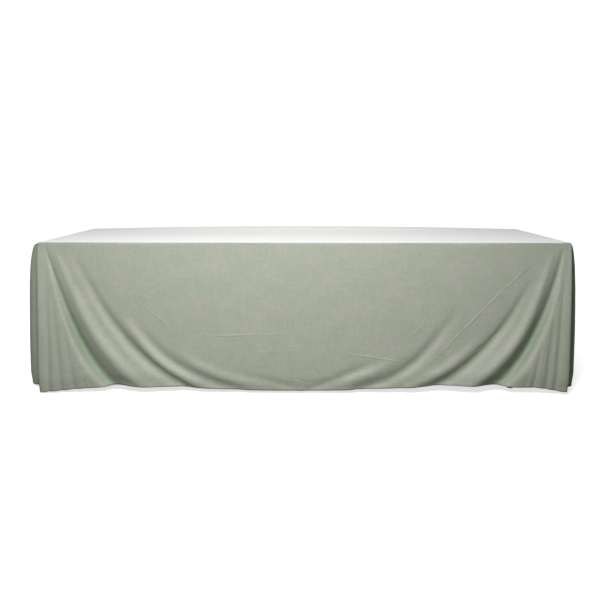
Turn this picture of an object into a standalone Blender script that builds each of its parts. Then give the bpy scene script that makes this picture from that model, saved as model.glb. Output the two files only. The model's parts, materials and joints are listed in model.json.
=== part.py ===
"""A floor-length tablecloth draped over a folding banquet table.

Frame: +Z up, the origin on the floor under the middle of the table, +X along the table's length.
The table's front, the long side that a guest sees, faces -Y. All sizes are in metres.
"""

import math

import bmesh
import bpy
from mathutils import Vector

# Table top
TABLE_LENGTH = 2.438
TABLE_WIDTH = 0.762
TABLE_HEIGHT = 0.724
CORNER_RADIUS = 0.025
TOP_DEPTH = 0.045
PANEL_THICKNESS = 0.020
LIP_WALL = 0.020
LIP_DRAFT = 0.001
TOP_EDGE_ROUNDING = 0.004

# Tablecloth
CLOTH_THICKNESS = 0.0015
EDGE_GAP = 0.0006
LIP_CLEARANCE = 0.0087  # how far past the edge of the top the cloth hangs straight before it folds
HEM_HEIGHT = 0.025
HEM_FLOOR_GAP = 0.010

# Frame under the top
FIT_GAP = 0.0003
TUBE_WALL = 0.0015
RAIL_WIDTH = 0.020
RAIL_DEPTH = 0.044
RAIL_WALL = 0.002
RAIL_END_INSET = 0.119  # from the end of the top to the end of a side rail
RAIL_INSET = 0.046  # from the edge of the top to the middle of a side rail
PLUG_FLANGE = 0.003
PLUG_INSERT = 0.012
CROSS_RAIL_WIDTH = 0.030
CROSS_RAIL_DEPTH = 0.010
SCREW_RADIUS = 0.0025
SCREW_HEAD_RADIUS = 0.005
SCREW_HEAD_DEPTH = 0.003
SCREW_BITE = 0.012
SCREW_SPACING = 0.700

# Legs
LEG_INSET = 0.199  # from the end of the top to the pivot of a leg frame
LEG_SIDE_GAP = 0.0273  # from the inside of a side rail to a leg
LEG_RADIUS = 0.0127
PIVOT_RADIUS = 0.011
PIVOT_RISE = 0.017  # from the bottom of a side rail to the pivot's axis
PIVOT_OVERHANG = 0.003
RETAINER_RADIUS = 0.016
RETAINER_THICKNESS = 0.002
CROSSBAR_RADIUS = 0.0095
FOOT_WALL = 0.004
FOOT_HEIGHT = 0.035
FOOT_FLOOR = 0.008
FOOT_CHAMFER = 0.002

# Folding brace: two flat links that lie side by side and meet at an elbow
BRACE_REACH = 0.360  # from the leg pivot to the brace's ends, along the rail and down the leg
LINK_LENGTH = BRACE_REACH / math.sqrt(2)
LINK_WIDTH = 0.020
LINK_THICKNESS = 0.004
LINK_OFFSET = 0.003  # from the brace's middle plane to the near face of a link
LUG_WIDTH = 0.024
LUG_REACH = 0.050  # from the brace crossbar to the pivot of the lower link
FOOT_CROSSBAR_HEIGHT = 0.117
RIVET_RADIUS = 0.003
RIVET_HEAD_RADIUS = 0.006
RIVET_HEAD_DEPTH = 0.002

ROUND_STEPS = 20
SMALL_ROUND_STEPS = 12

# Heights and places that follow from the sizes above
PANEL_UNDERSIDE = TABLE_HEIGHT - PANEL_THICKNESS
RAIL_TOP = PANEL_UNDERSIDE - FIT_GAP
RAIL_LENGTH = TABLE_LENGTH - 2 * RAIL_END_INSET
PIVOT_HEIGHT = RAIL_TOP - RAIL_DEPTH + PIVOT_RISE
PIVOT_X = TABLE_LENGTH / 2 - LEG_INSET
RAIL_Y = TABLE_WIDTH / 2 - RAIL_INSET
RAIL_OUTER_Y = RAIL_Y + RAIL_WIDTH / 2
LEG_Y = RAIL_Y - RAIL_WIDTH / 2 - LEG_SIDE_GAP - LEG_RADIUS
FOOT_RADIUS = LEG_RADIUS + FIT_GAP + FOOT_WALL
BRACE_ANCHOR_X = PIVOT_X - BRACE_REACH
BRACE_LEG_HEIGHT = PIVOT_HEIGHT - BRACE_REACH
BRACE_CROSSBAR_HEIGHT = BRACE_LEG_HEIGHT - LUG_REACH
ELBOW_X = PIVOT_X - BRACE_REACH / 2
ELBOW_HEIGHT = PIVOT_HEIGHT - BRACE_REACH / 2
CLOTH_REACH = FIT_GAP + CLOTH_THICKNESS  # from the table top up to the outside of the cloth
EDGE_REACH = EDGE_GAP + CLOTH_THICKNESS  # from the table's edge out to the outside of the cloth
DROP = TABLE_HEIGHT + CLOTH_REACH - HEM_FLOOR_GAP
ENDS = {"left": -1, "right": 1}
SIDES = {"front": -1, "back": 1}

# The cloth at a corner of the table, seen from above and listed from the long side round to the
# short side. Each row is a fold's crest or hollow: where it leaves the table's edge, where it
# reaches the hem, both as (beyond the end, beyond the long side), how early it bellies out, and
# how far the hem is lifted there. On a long side the folds fan out from the corner of the top.
# The places are those on a table of the size in FOLDS_DRAWN_FOR, and spread with the table.
FOLDS_DRAWN_FOR = (2.438, 0.762)
CORNER_FOLDS = [
    ((-0.620, 0.000), (-1.060, 0.030), 1.5, 0.010),
    ((-0.480, 0.000), (-0.980, 0.020), 1.5, 0.012),
    ((-0.340, 0.000), (-0.880, 0.032), 1.5, 0.014),
    ((-0.260, 0.000), (-0.800, 0.012), 1.5, 0.016),
    ((-0.180, 0.000), (-0.710, 0.034), 1.5, 0.018),
    ((-0.114, 0.000), (-0.630, 0.012), 1.5, 0.020),
    ((-0.085, 0.000), (-0.520, 0.024), 1.5, 0.023),
    ((-0.065, 0.000), (-0.420, 0.034), 1.45, 0.026),
    ((-0.042, 0.000), (-0.345, 0.010), 1.4, 0.029),
    ((-0.035, 0.000), (-0.235, 0.018), 1.25, 0.028),
    ((-0.030, 0.000), (-0.158, 0.031), 1.1, 0.018),
    ((-0.026, 0.000), (-0.126, 0.020), 1.0, 0.012),
    ((-0.021, -0.001), (-0.092, 0.037), 0.95, 0.006),
    ((-0.017, -0.002), (-0.056, 0.023), 0.9, 0.003),
    ((-0.013, -0.003), (-0.022, 0.041), 0.85, 0.001),
    ((-0.010, -0.004), (0.004, 0.026), 0.8, 0.000),
    ((-0.008, -0.006), (0.042, 0.036), 0.75, 0.000),
    ((-0.006, -0.008), (0.052, 0.006), 0.7, 0.000),
    ((-0.005, -0.009), (0.000, -0.048), 0.8, 0.004),
    ((-0.004, -0.011), (0.030, -0.082), 0.7, 0.010),
    ((-0.003, -0.013), (0.096, -0.070), 0.5, 0.014),
    ((-0.001, -0.020), (0.120, -0.104), 0.45, 0.014),
    ((0.000, -0.040), (0.102, -0.146), 0.45, 0.014),
    ((0.000, -0.075), (0.048, -0.174), 0.6, 0.012),
    ((0.000, -0.130), (0.014, -0.205), 0.9, 0.010),
    ((0.000, -0.200), (0.040, -0.250), 1.0, 0.006),
    ((0.000, -0.280), (0.012, -0.305), 1.2, 0.004),
]
FOLD_SAMPLES = 2
HEM_TOP_SHARE = 1 - HEM_HEIGHT / DROP
STRAIGHT_SHARE = (TOP_DEPTH + LIP_CLEARANCE) / DROP
DROP_ROWS = (0.0, STRAIGHT_SHARE, 0.15, 0.35, 0.65, HEM_TOP_SHARE, 1.0)
HEM_CLEARANCE = 0.0008  # between the hem's turned-up band and the cloth


def clear_scene():
    for obj in list(bpy.data.objects):
        bpy.data.objects.remove(obj, do_unlink=True)


def new_collection(name):
    collection = bpy.data.collections.new(name)
    bpy.context.scene.collection.children.link(collection)
    return collection


def make_material(name, colour, roughness, metallic=0.0):
    material = bpy.data.materials.new(name)
    material.use_nodes = True
    shader = material.node_tree.nodes["Principled BSDF"]
    shader.inputs["Base Color"].default_value = (*colour, 1.0)
    shader.inputs["Roughness"].default_value = roughness
    shader.inputs["Metallic"].default_value = metallic
    return material


def add_object(name, mesh, material=None, collection=None):
    """A new object in the model's collection, or in the one given."""
    obj = bpy.data.objects.new(name, mesh)
    (collection or PARTS).objects.link(obj)
    if material:
        mesh.materials.append(material)
    return obj


def mesh_from(bm, name):
    mesh = bpy.data.meshes.new(name)
    bm.to_mesh(mesh)
    bm.free()
    return mesh


def box_mesh(name, size, centre):
    bm = bmesh.new()
    bmesh.ops.create_cube(bm, size=1.0)
    for vert in bm.verts:
        vert.co = Vector([c * s for c, s in zip(vert.co, size)]) + Vector(centre)
    return mesh_from(bm, name)


def box(name, size, centre, material=None, collection=None):
    return add_object(name, box_mesh(name, size, centre), material, collection)


def rod_mesh(name, radius, length, centre, along, steps):
    """A plain cylinder along X, Y or Z."""
    bm = bmesh.new()
    bmesh.ops.create_cone(
        bm, cap_ends=True, segments=steps, radius1=radius, radius2=radius, depth=length
    )
    turn = Vector((0, 0, 1)).rotation_difference(Vector(along)).to_matrix()
    for vert in bm.verts:
        vert.co = turn @ vert.co + Vector(centre)
    return mesh_from(bm, name)


def cutter_rod(name, radius, length, centre, along, steps=ROUND_STEPS):
    mesh = rod_mesh(name, radius, length, centre, along, steps)
    return hide_cutter(add_object(name, mesh, None, CUTTERS))


def cutter_box(name, size, centre):
    return hide_cutter(box(name, size, centre, None, CUTTERS))


def hide_cutter(obj):
    obj.hide_render = True
    obj.display_type = "WIRE"
    return obj


def cut(obj, *cutters):
    for cutter in cutters:
        boolean = obj.modifiers.new("cut " + cutter.name, "BOOLEAN")
        boolean.operation = "DIFFERENCE"
        boolean.object = cutter


def turned(name, profile, place, along, material, steps=ROUND_STEPS):
    """A turned shape from (radius, height) points that run down its outer side, stood along an axis."""
    bm = bmesh.new()
    verts = [bm.verts.new((radius, 0.0, height)) for radius, height in profile]
    closed = profile[0][0] > 0 and profile[-1][0] > 0
    for start, end in zip(verts, verts[1:]):
        bm.edges.new((start, end))
    if closed:
        bm.edges.new((verts[-1], verts[0]))
    obj = add_object(name, mesh_from(bm, name), material)
    screw = obj.modifiers.new("turn", "SCREW")
    screw.axis = "Z"
    screw.steps = steps
    screw.render_steps = steps
    screw.use_merge_vertices = True
    screw.merge_threshold = 0.00001
    obj.rotation_mode = "QUATERNION"
    obj.rotation_quaternion = Vector((0, 0, 1)).rotation_difference(Vector(along))
    obj.location = place
    return obj


def hollow_tube(name, radius, wall, length, centre, along, material):
    """A round tube, open at both ends."""
    inner, half = radius - wall, length / 2
    profile = [(inner, half), (radius, half), (radius, -half), (inner, -half)]
    return turned(name, profile, centre, along, material)


def joint_empty(name, place):
    """An empty on a joint's axis, which the pieces of the moving body hang from."""
    empty = bpy.data.objects.new(name, None)
    empty.location = place
    PARTS.objects.link(empty)
    return empty


def hang_from(empty, *pieces):
    """Parents pieces to an empty without moving them."""
    bpy.context.view_layer.update()
    for piece in pieces:
        piece.parent = empty
        piece.matrix_parent_inverse = empty.matrix_world.inverted()


# ---------------------------------------------------------------- tablecloth


def smooth_through(points, samples):
    """A Catmull-Rom curve through points of any dimension, with the given samples to a span."""
    ends = [points[0], *points, points[-1]]
    made = []
    for before, a, b, after in zip(ends, ends[1:], ends[2:], ends[3:]):
        for step in range(samples):
            t = step / samples
            made.append(
                tuple(
                    0.5
                    * (
                        2 * p1
                        + (p2 - p0) * t
                        + (2 * p0 - 5 * p1 + 4 * p2 - p3) * t**2
                        + (3 * p1 - p0 - 3 * p2 + p3) * t**3
                    )
                    for p0, p1, p2, p3 in zip(before, a, b, after)
                )
            )
    made.append(tuple(points[-1]))
    return made


def spread_place(place):
    """A fold's place on this table, given its place on the table that the folds were drawn for."""
    sizes = zip(place, (TABLE_LENGTH, TABLE_WIDTH), FOLDS_DRAWN_FOR)
    return tuple(p * size / drawn if p < 0 else p for p, size, drawn in sizes)


def quarter_outline():
    """Half a long side, a corner and half a short side.

    Each column is (edge x, edge y, hem x, hem y, belly, lift).
    """
    middle_of_long_side = ((-TABLE_LENGTH / 2, 0.0), (-TABLE_LENGTH / 2, 0.024), 1.5, 0.008)
    middle_of_short_side = ((0.0, -TABLE_WIDTH / 2), (0.022, -TABLE_WIDTH / 2), 1.2, 0.004)
    corner = [
        (spread_place(edge), spread_place(hem), belly, lift)
        for edge, hem, belly, lift in CORNER_FOLDS
    ]
    rows = [middle_of_long_side, *corner, middle_of_short_side]
    flat = [(*edge, *hem, belly, lift) for edge, hem, belly, lift in rows]
    return smooth_through(flat, FOLD_SAMPLES)


def around_top_edge(edge_x, edge_y, reach):
    """Moves a place near the top's outline to a distance outside it, round its rounded corner."""
    in_x, in_y = edge_x + CORNER_RADIUS, edge_y + CORNER_RADIUS
    if in_x > 0 and in_y > 0:
        turn = math.atan2(in_y, in_x)
        radius = CORNER_RADIUS + reach
        return radius * math.cos(turn) - CORNER_RADIUS, radius * math.sin(turn) - CORNER_RADIUS
    return (edge_x, reach) if in_y > in_x else (reach, edge_y)


def full_outline(reach=EDGE_REACH):
    """The quarter outline mirrored round all four corners, in order round the table.

    reach is how far outside the table top's edge the columns start.
    """
    quarter = quarter_outline()
    half_x, half_y = TABLE_LENGTH / 2, TABLE_WIDTH / 2
    around = []
    for sign_x, sign_y, order in ((1, -1, 1), (1, 1, -1), (-1, 1, 1), (-1, -1, -1)):
        for edge_x, edge_y, hem_x, hem_y, belly, lift in quarter[::order][:-1]:
            edge_x, edge_y = around_top_edge(edge_x, edge_y, reach)
            around.append(
                (
                    sign_x * (half_x + edge_x),
                    sign_y * (half_y + edge_y),
                    sign_x * (half_x + hem_x),
                    sign_y * (half_y + hem_y),
                    belly,
                    lift,
                )
            )
    return around


def cloth_point(column, share):
    """A point of the cloth's outside: a column of the outline, a share of the way down."""
    edge_x, edge_y, hem_x, hem_y, belly, lift = column
    out = max(0.0, (share - STRAIGHT_SHARE) / (1 - STRAIGHT_SHARE)) ** belly
    x = edge_x + (hem_x - edge_x) * out
    y = edge_y + (hem_y - edge_y) * out
    return Vector((x, y, TABLE_HEIGHT + CLOTH_REACH - (DROP - lift) * share))


def loft(name, rings, capped=False):
    """A surface through rings of points, closed round, its first and last capped if asked."""
    bm = bmesh.new()
    rows = [[bm.verts.new(point) for point in ring] for ring in rings]
    for upper, lower in zip(rows, rows[1:]):
        count = len(upper)
        for i in range(count):
            j = (i + 1) % count
            bm.faces.new((upper[i], lower[i], lower[j], upper[j]))
    if capped:
        bm.faces.new(rows[0])
        bm.faces.new(rows[-1])
    bmesh.ops.recalc_face_normals(bm, faces=bm.faces)
    return mesh_from(bm, name)


def thicken_inwards(obj, thickness):
    solidify = obj.modifiers.new("thickness", "SOLIDIFY")
    solidify.thickness = thickness
    solidify.offset = -1.0
    solidify.use_even_offset = True


def make_cloth_top(fabric):
    """The flat part of the cloth, lying on the table top."""
    edge = [(x, y) for x, y, *_ in full_outline(EDGE_GAP - FIT_GAP)]
    upper = TABLE_HEIGHT + CLOTH_REACH
    rings = [[Vector((x, y, z)) for x, y in edge] for z in (upper, upper - CLOTH_THICKNESS)]
    add_object("tablecloth_top", loft("tablecloth_top", rings, capped=True), fabric)


def make_cloth_drop(fabric):
    """The part of the cloth that hangs, all round the table."""
    outline = full_outline()
    rings = [[cloth_point(column, share) for column in outline] for share in DROP_ROWS]
    drop = add_object("tablecloth_drop", loft("tablecloth_drop", rings), fabric)
    thicken_inwards(drop, CLOTH_THICKNESS)


def inset_ring(points, inset):
    """A ring of points moved in by a distance, its corners mitred."""
    sides = [
        Vector((q.y - p.y, p.x - q.x, 0.0)).normalized()
        for p, q in zip(points, points[1:] + points[:1])
    ]
    return [
        point - (before + after) * (inset / (1 + before.dot(after)))
        for point, before, after in zip(points, sides[-1:] + sides[:-1], sides)
    ]


def make_hem(fabric):
    """The turned-up allowance: a band of the same cloth inside the bottom edge."""
    outline = full_outline()
    inset = CLOTH_THICKNESS + HEM_CLEARANCE
    rings = [
        inset_ring([cloth_point(column, share) for column in outline], inset)
        for share in (HEM_TOP_SHARE, 1.0)
    ]
    hem = add_object("hem_fold", loft("hem_fold", rings), fabric)
    thicken_inwards(hem, CLOTH_THICKNESS)


# ---------------------------------------------------------------- table top and rails


def screw_places():
    for side, sign in SIDES.items():
        for where, x in (("left", -SCREW_SPACING), ("middle", 0.0), ("right", SCREW_SPACING)):
            yield f"rail_screw_{side}_{where}", x, sign * RAIL_Y


def make_table_top(plastic):
    bm = bmesh.new()
    bmesh.ops.create_cube(bm, size=1.0)
    size = Vector((TABLE_LENGTH, TABLE_WIDTH, TOP_DEPTH))
    middle = Vector((0, 0, TABLE_HEIGHT - TOP_DEPTH / 2))
    for vert in bm.verts:
        vert.co = Vector([c * s for c, s in zip(vert.co, size)]) + middle
    upright = [e for e in bm.edges if abs(e.verts[0].co.z - e.verts[1].co.z) > TOP_DEPTH / 2]
    bmesh.ops.bevel(
        bm, geom=upright, offset=CORNER_RADIUS, segments=5, profile=0.5, affect="EDGES"
    )
    underside = min(bm.faces, key=lambda face: face.calc_center_median().z)
    bmesh.ops.inset_region(bm, faces=[underside], thickness=LIP_WALL, use_even_offset=True)
    bmesh.ops.inset_region(
        bm,
        faces=[underside],
        thickness=LIP_DRAFT,
        depth=PANEL_THICKNESS - TOP_DEPTH,
        use_even_offset=True,
    )
    top = add_object("table_top", mesh_from(bm, "table_top"), plastic)
    rounding = top.modifiers.new("rounded edge", "BEVEL")
    rounding.width = TOP_EDGE_ROUNDING
    rounding.segments = 2
    rounding.limit_method = "ANGLE"
    rounding.angle_limit = math.radians(60)
    hole_depth = SCREW_BITE + FIT_GAP
    for name, x, y in screw_places():
        hole = cutter_rod(
            "pilot_" + name,
            SCREW_RADIUS + FIT_GAP,
            2 * hole_depth,
            (x, y, PANEL_UNDERSIDE),
            (0, 0, 1),
            SMALL_ROUND_STEPS,
        )
        cut(top, hole)


def make_side_rail(side, sign, steel):
    middle = RAIL_TOP - RAIL_DEPTH / 2
    y = sign * RAIL_Y
    rail = box(
        f"side_rail_{side}", (RAIL_LENGTH, RAIL_WIDTH, RAIL_DEPTH), (0, y, middle), steel
    )
    inside = (RAIL_LENGTH * 1.1, RAIL_WIDTH - 2 * RAIL_WALL, RAIL_DEPTH - 2 * RAIL_WALL)
    cut(rail, cutter_box(f"inside_{side}", inside, (0, y, middle)))
    for end, end_sign in ENDS.items():
        hole = cutter_rod(
            f"pivot_hole_{side}_{end}",
            PIVOT_RADIUS + FIT_GAP,
            2 * RAIL_WIDTH,
            (end_sign * PIVOT_X, y, PIVOT_HEIGHT),
            (0, 1, 0),
        )
        cut(rail, hole)
    for name, x, screw_y in screw_places():
        if screw_y == y:
            hole = cutter_rod(
                "clearance_" + name,
                SCREW_RADIUS + FIT_GAP,
                2 * RAIL_DEPTH,
                (x, y, middle),
                (0, 0, 1),
                SMALL_ROUND_STEPS,
            )
            cut(rail, hole)


def make_rail_plug(side, sign, end, end_sign, plastic):
    """A push-in end plug: a flange over the rail's end and an insert inside its walls."""
    middle = Vector((0, sign * RAIL_Y, RAIL_TOP - RAIL_DEPTH / 2))
    mouth = RAIL_LENGTH / 2 + FIT_GAP
    bm = bmesh.new()
    bmesh.ops.create_cube(bm, size=1.0)
    for vert in bm.verts:
        x = mouth + (vert.co.x + 0.5) * PLUG_FLANGE
        vert.co = Vector((x, vert.co.y * RAIL_WIDTH, vert.co.z * RAIL_DEPTH))
    inner = min(bm.faces, key=lambda face: face.calc_center_median().x)
    bmesh.ops.inset_region(
        bm, faces=[inner], thickness=RAIL_WALL + FIT_GAP, use_even_offset=True
    )
    pulled = bmesh.ops.extrude_face_region(bm, geom=[inner])
    moved = [item for item in pulled["geom"] if isinstance(item, bmesh.types.BMVert)]
    bmesh.ops.translate(bm, verts=moved, vec=(-PLUG_INSERT, 0, 0))
    bmesh.ops.delete(bm, geom=[inner], context="FACES_ONLY")
    for vert in bm.verts:
        vert.co = Vector((end_sign * vert.co.x, vert.co.y, vert.co.z)) + middle
    bmesh.ops.recalc_face_normals(bm, faces=bm.faces)
    name = f"rail_plug_{side}_{end}"
    add_object(name, mesh_from(bm, name), plastic)


def make_rail_screw(name, x, y, zinc):
    """A pan-head screw that comes up through the rail and bites into the panel."""
    head_top = RAIL_TOP - RAIL_DEPTH - FIT_GAP
    tip = PANEL_UNDERSIDE + SCREW_BITE - head_top
    profile = [
        (0.0, tip),
        (SCREW_RADIUS, tip - SCREW_RADIUS),
        (SCREW_RADIUS, 0.0),
        (SCREW_HEAD_RADIUS, 0.0),
        (SCREW_HEAD_RADIUS * 0.8, -SCREW_HEAD_DEPTH),
        (0.0, -SCREW_HEAD_DEPTH),
    ]
    turned(name, profile, (x, y, head_top), (0, 0, 1), zinc, SMALL_ROUND_STEPS)


def make_cross_rail(end, end_sign, steel):
    length = 2 * (RAIL_Y - RAIL_WIDTH / 2 - FIT_GAP)
    place = (end_sign * BRACE_ANCHOR_X, 0, RAIL_TOP - CROSS_RAIL_DEPTH / 2)
    box(f"cross_rail_{end}", (CROSS_RAIL_WIDTH, length, CROSS_RAIL_DEPTH), place, steel)


# ---------------------------------------------------------------- leg frames and braces


def rounded_bar(name, start, end, width, thickness, near_y, material, round_start=True):
    """A flat bar between two pivots in the XZ plane, with round ends and a hole at each pivot."""
    start, end = Vector((start[0], 0, start[1])), Vector((end[0], 0, end[1]))
    along = (end - start).normalized()
    length = (end - start).length
    angle = math.atan2(along.z, along.x)
    half_turn = SMALL_ROUND_STEPS // 2
    outline = []
    for step in range(half_turn + 1):
        turn = angle - math.pi / 2 + math.pi * step / half_turn
        outline.append(end + Vector((math.cos(turn), 0, math.sin(turn))) * width / 2)
    if round_start:
        for step in range(half_turn + 1):
            turn = angle + math.pi / 2 + math.pi * step / half_turn
            outline.append(start + Vector((math.cos(turn), 0, math.sin(turn))) * width / 2)
    else:
        across = Vector((-along.z, 0, along.x)) * width / 2
        outline += [start + across, start - across]
    curve = bpy.data.curves.new(name, "CURVE")
    curve.dimensions = "2D"
    curve.fill_mode = "BOTH"
    curve.extrude = thickness / 2
    spline = curve.splines.new("POLY")
    spline.points.add(len(outline) - 1)
    for point, corner in zip(spline.points, outline):
        point.co = (corner.x, corner.z, 0.0, 1.0)
    spline.use_cyclic_u = True
    guide = bpy.data.objects.new(name + "_outline", curve)
    guide.rotation_euler = (math.pi / 2, 0, 0)
    guide.location = (0, near_y + thickness / 2, 0)
    PARTS.objects.link(guide)
    bpy.context.view_layer.update()
    evaluated = guide.evaluated_get(bpy.context.evaluated_depsgraph_get())
    mesh = bpy.data.meshes.new_from_object(evaluated)
    mesh.transform(guide.matrix_world)
    bpy.data.objects.remove(guide)
    bm = bmesh.new()
    bm.from_mesh(mesh)
    bmesh.ops.remove_doubles(bm, verts=bm.verts, dist=0.00001)
    bmesh.ops.recalc_face_normals(bm, faces=bm.faces)
    bm.to_mesh(mesh)
    bm.free()
    mesh.materials.clear()
    bar = add_object(name, mesh, material)
    holes = [end, start] if round_start else [end]
    for number, place in enumerate(holes):
        hole = cutter_rod(
            f"hole_{name}_{number}",
            RIVET_RADIUS + FIT_GAP,
            4 * thickness,
            (place.x, near_y + thickness / 2, place.z),
            (0, 1, 0),
            SMALL_ROUND_STEPS,
        )
        cut(bar, hole)
    return bar


def rivet(name, x, z, sections, material):
    """A rivet along Y from sections of (radius, near y, far y), listed from the far end down."""
    profile = [(0.0, sections[0][2])]
    for radius, near_y, far_y in sections:
        profile += [(radius, far_y), (radius, near_y)]
    profile.append((0.0, sections[-1][1]))
    return turned(name, profile, (x, 0, z), (0, 1, 0), material, SMALL_ROUND_STEPS)


def make_foot(name, x, y, plastic):
    """A cup that closes the bottom of a leg."""
    bore = LEG_RADIUS + FIT_GAP
    profile = [
        (0.0, FOOT_FLOOR),
        (bore, FOOT_FLOOR),
        (bore, FOOT_HEIGHT),
        (FOOT_RADIUS - FOOT_CHAMFER / 2, FOOT_HEIGHT),
        (FOOT_RADIUS, FOOT_HEIGHT - FOOT_CHAMFER),
        (FOOT_RADIUS, FOOT_CHAMFER),
        (FOOT_RADIUS - FOOT_CHAMFER, 0.0),
        (0.0, 0.0),
    ]
    return turned(name, profile, (x, y, 0), (0, 0, 1), plastic)


def make_leg(name, x, y, pivot_cutter, steel):
    bottom = FOOT_FLOOR + FIT_GAP
    length = PIVOT_HEIGHT - bottom
    leg = hollow_tube(
        name, LEG_RADIUS, TUBE_WALL, length, (x, y, bottom + length / 2), (0, 0, 1), steel
    )
    cut(leg, pivot_cutter)
    return leg


def make_crossbar(name, x, z, leg_cutters, steel):
    bar = hollow_tube(
        name, CROSSBAR_RADIUS, TUBE_WALL, 2 * LEG_Y, (x, 0, z), (0, 1, 0), steel
    )
    cut(bar, *leg_cutters)
    return bar


def make_leg_frame(end, end_sign, steel, plastic, zinc):
    x = end_sign * PIVOT_X
    pieces = []
    pivot_length = 2 * (RAIL_OUTER_Y + PIVOT_OVERHANG)
    pivot_place = (x, 0, PIVOT_HEIGHT)
    pieces.append(
        hollow_tube(
            f"pivot_tube_{end}", PIVOT_RADIUS, TUBE_WALL, pivot_length, pivot_place, (0, 1, 0), steel
        )
    )
    pivot_cutter = cutter_rod(
        f"cope_pivot_{end}", PIVOT_RADIUS + FIT_GAP, pivot_length, pivot_place, (0, 1, 0)
    )
    leg_cutters = [
        cutter_rod(
            f"cope_leg_{end}_{side}",
            LEG_RADIUS + FIT_GAP,
            2 * PIVOT_HEIGHT,
            (x, sign * LEG_Y, 0),
            (0, 0, 1),
        )
        for side, sign in SIDES.items()
    ]
    for side, sign in SIDES.items():
        pieces.append(make_leg(f"leg_{end}_{side}", x, sign * LEG_Y, pivot_cutter, steel))
        pieces.append(make_foot(f"foot_{end}_{side}", x, sign * LEG_Y, plastic))
        ring = [
            (PIVOT_RADIUS + FIT_GAP, RETAINER_THICKNESS),
            (RETAINER_RADIUS, RETAINER_THICKNESS),
            (RETAINER_RADIUS, 0.0),
            (PIVOT_RADIUS + FIT_GAP, 0.0),
        ]
        place = (x, sign * (RAIL_OUTER_Y + FIT_GAP), PIVOT_HEIGHT)
        pieces.append(
            turned(f"pivot_retainer_{end}_{side}", ring, place, (0, sign, 0), zinc)
        )
    brace_bar = make_crossbar(
        f"brace_crossbar_{end}", x, BRACE_CROSSBAR_HEIGHT, leg_cutters, steel
    )
    pieces.append(brace_bar)
    pieces.append(
        make_crossbar(f"foot_crossbar_{end}", x, FOOT_CROSSBAR_HEIGHT, leg_cutters, steel)
    )

    lug_near_y = -(LINK_OFFSET + LINK_THICKNESS + FIT_GAP) - LINK_THICKNESS
    lug = rounded_bar(
        f"brace_lug_{end}",
        (x, BRACE_CROSSBAR_HEIGHT),
        (x, BRACE_LEG_HEIGHT),
        LUG_WIDTH,
        LINK_THICKNESS,
        lug_near_y,
        steel,
        round_start=False,
    )
    saddle = cutter_rod(
        f"saddle_{end}",
        CROSSBAR_RADIUS + FIT_GAP,
        LEG_Y,
        (x, 0, BRACE_CROSSBAR_HEIGHT),
        (0, 1, 0),
    )
    cut(lug, saddle)
    pieces.append(lug)
    head = RIVET_HEAD_DEPTH
    sections = [
        (RIVET_HEAD_RADIUS, -LINK_OFFSET + FIT_GAP, -LINK_OFFSET + FIT_GAP + head),
        (RIVET_RADIUS, lug_near_y - FIT_GAP, -LINK_OFFSET + FIT_GAP),
        (RIVET_HEAD_RADIUS, lug_near_y - FIT_GAP - head, lug_near_y - FIT_GAP),
    ]
    pieces.append(rivet(f"lug_rivet_{end}", x, BRACE_LEG_HEIGHT, sections, zinc))
    hang_from(joint_empty(f"leg_fold_{end}_axis", pivot_place), *pieces)


def make_brace_bracket(end, end_sign, steel, zinc):
    """The lug under the cross rail that carries the upper link, and its rivet."""
    x = end_sign * BRACE_ANCHOR_X
    near_y = LINK_OFFSET + LINK_THICKNESS + FIT_GAP
    underside = RAIL_TOP - CROSS_RAIL_DEPTH - FIT_GAP
    rounded_bar(
        f"brace_bracket_{end}",
        (x, underside),
        (x, PIVOT_HEIGHT),
        LUG_WIDTH,
        LINK_THICKNESS,
        near_y,
        steel,
        round_start=False,
    )
    far_y = near_y + LINK_THICKNESS
    head = RIVET_HEAD_DEPTH
    sections = [
        (RIVET_HEAD_RADIUS, far_y + FIT_GAP, far_y + FIT_GAP + head),
        (RIVET_RADIUS, LINK_OFFSET - FIT_GAP, far_y + FIT_GAP),
        (RIVET_HEAD_RADIUS, LINK_OFFSET - FIT_GAP - head, LINK_OFFSET - FIT_GAP),
    ]
    rivet(f"bracket_rivet_{end}", x, PIVOT_HEIGHT, sections, zinc)


def make_brace(end, end_sign, steel, zinc):
    anchor = (end_sign * BRACE_ANCHOR_X, PIVOT_HEIGHT)
    elbow = (end_sign * ELBOW_X, ELBOW_HEIGHT)
    on_leg = (end_sign * PIVOT_X, BRACE_LEG_HEIGHT)
    size = (LINK_WIDTH, LINK_THICKNESS)
    upper = rounded_bar(f"upper_link_{end}", anchor, elbow, *size, LINK_OFFSET, steel)
    lower_near_y = -LINK_OFFSET - LINK_THICKNESS
    lower = rounded_bar(f"lower_link_{end}", elbow, on_leg, *size, lower_near_y, steel)
    head = RIVET_HEAD_DEPTH
    upper_far_y = LINK_OFFSET + LINK_THICKNESS + FIT_GAP
    pin_sections = [
        (RIVET_HEAD_RADIUS, upper_far_y, upper_far_y + head),
        (RIVET_RADIUS, LINK_OFFSET - FIT_GAP, upper_far_y),
        (RIVET_HEAD_RADIUS, -LINK_OFFSET + FIT_GAP, LINK_OFFSET - FIT_GAP),
    ]
    pin = rivet(f"elbow_pin_{end}", *elbow, pin_sections, zinc)
    button_sections = [
        (RIVET_RADIUS, lower_near_y - FIT_GAP, -LINK_OFFSET),
        (RIVET_HEAD_RADIUS, lower_near_y - FIT_GAP - head, lower_near_y - FIT_GAP),
    ]
    button = rivet(f"elbow_button_{end}", *elbow, button_sections, zinc)
    hang_from(joint_empty(f"upper_brace_{end}_axis", (anchor[0], 0, anchor[1])), upper, pin)
    hang_from(joint_empty(f"lower_brace_{end}_axis", (on_leg[0], 0, on_leg[1])), lower, button)


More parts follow.
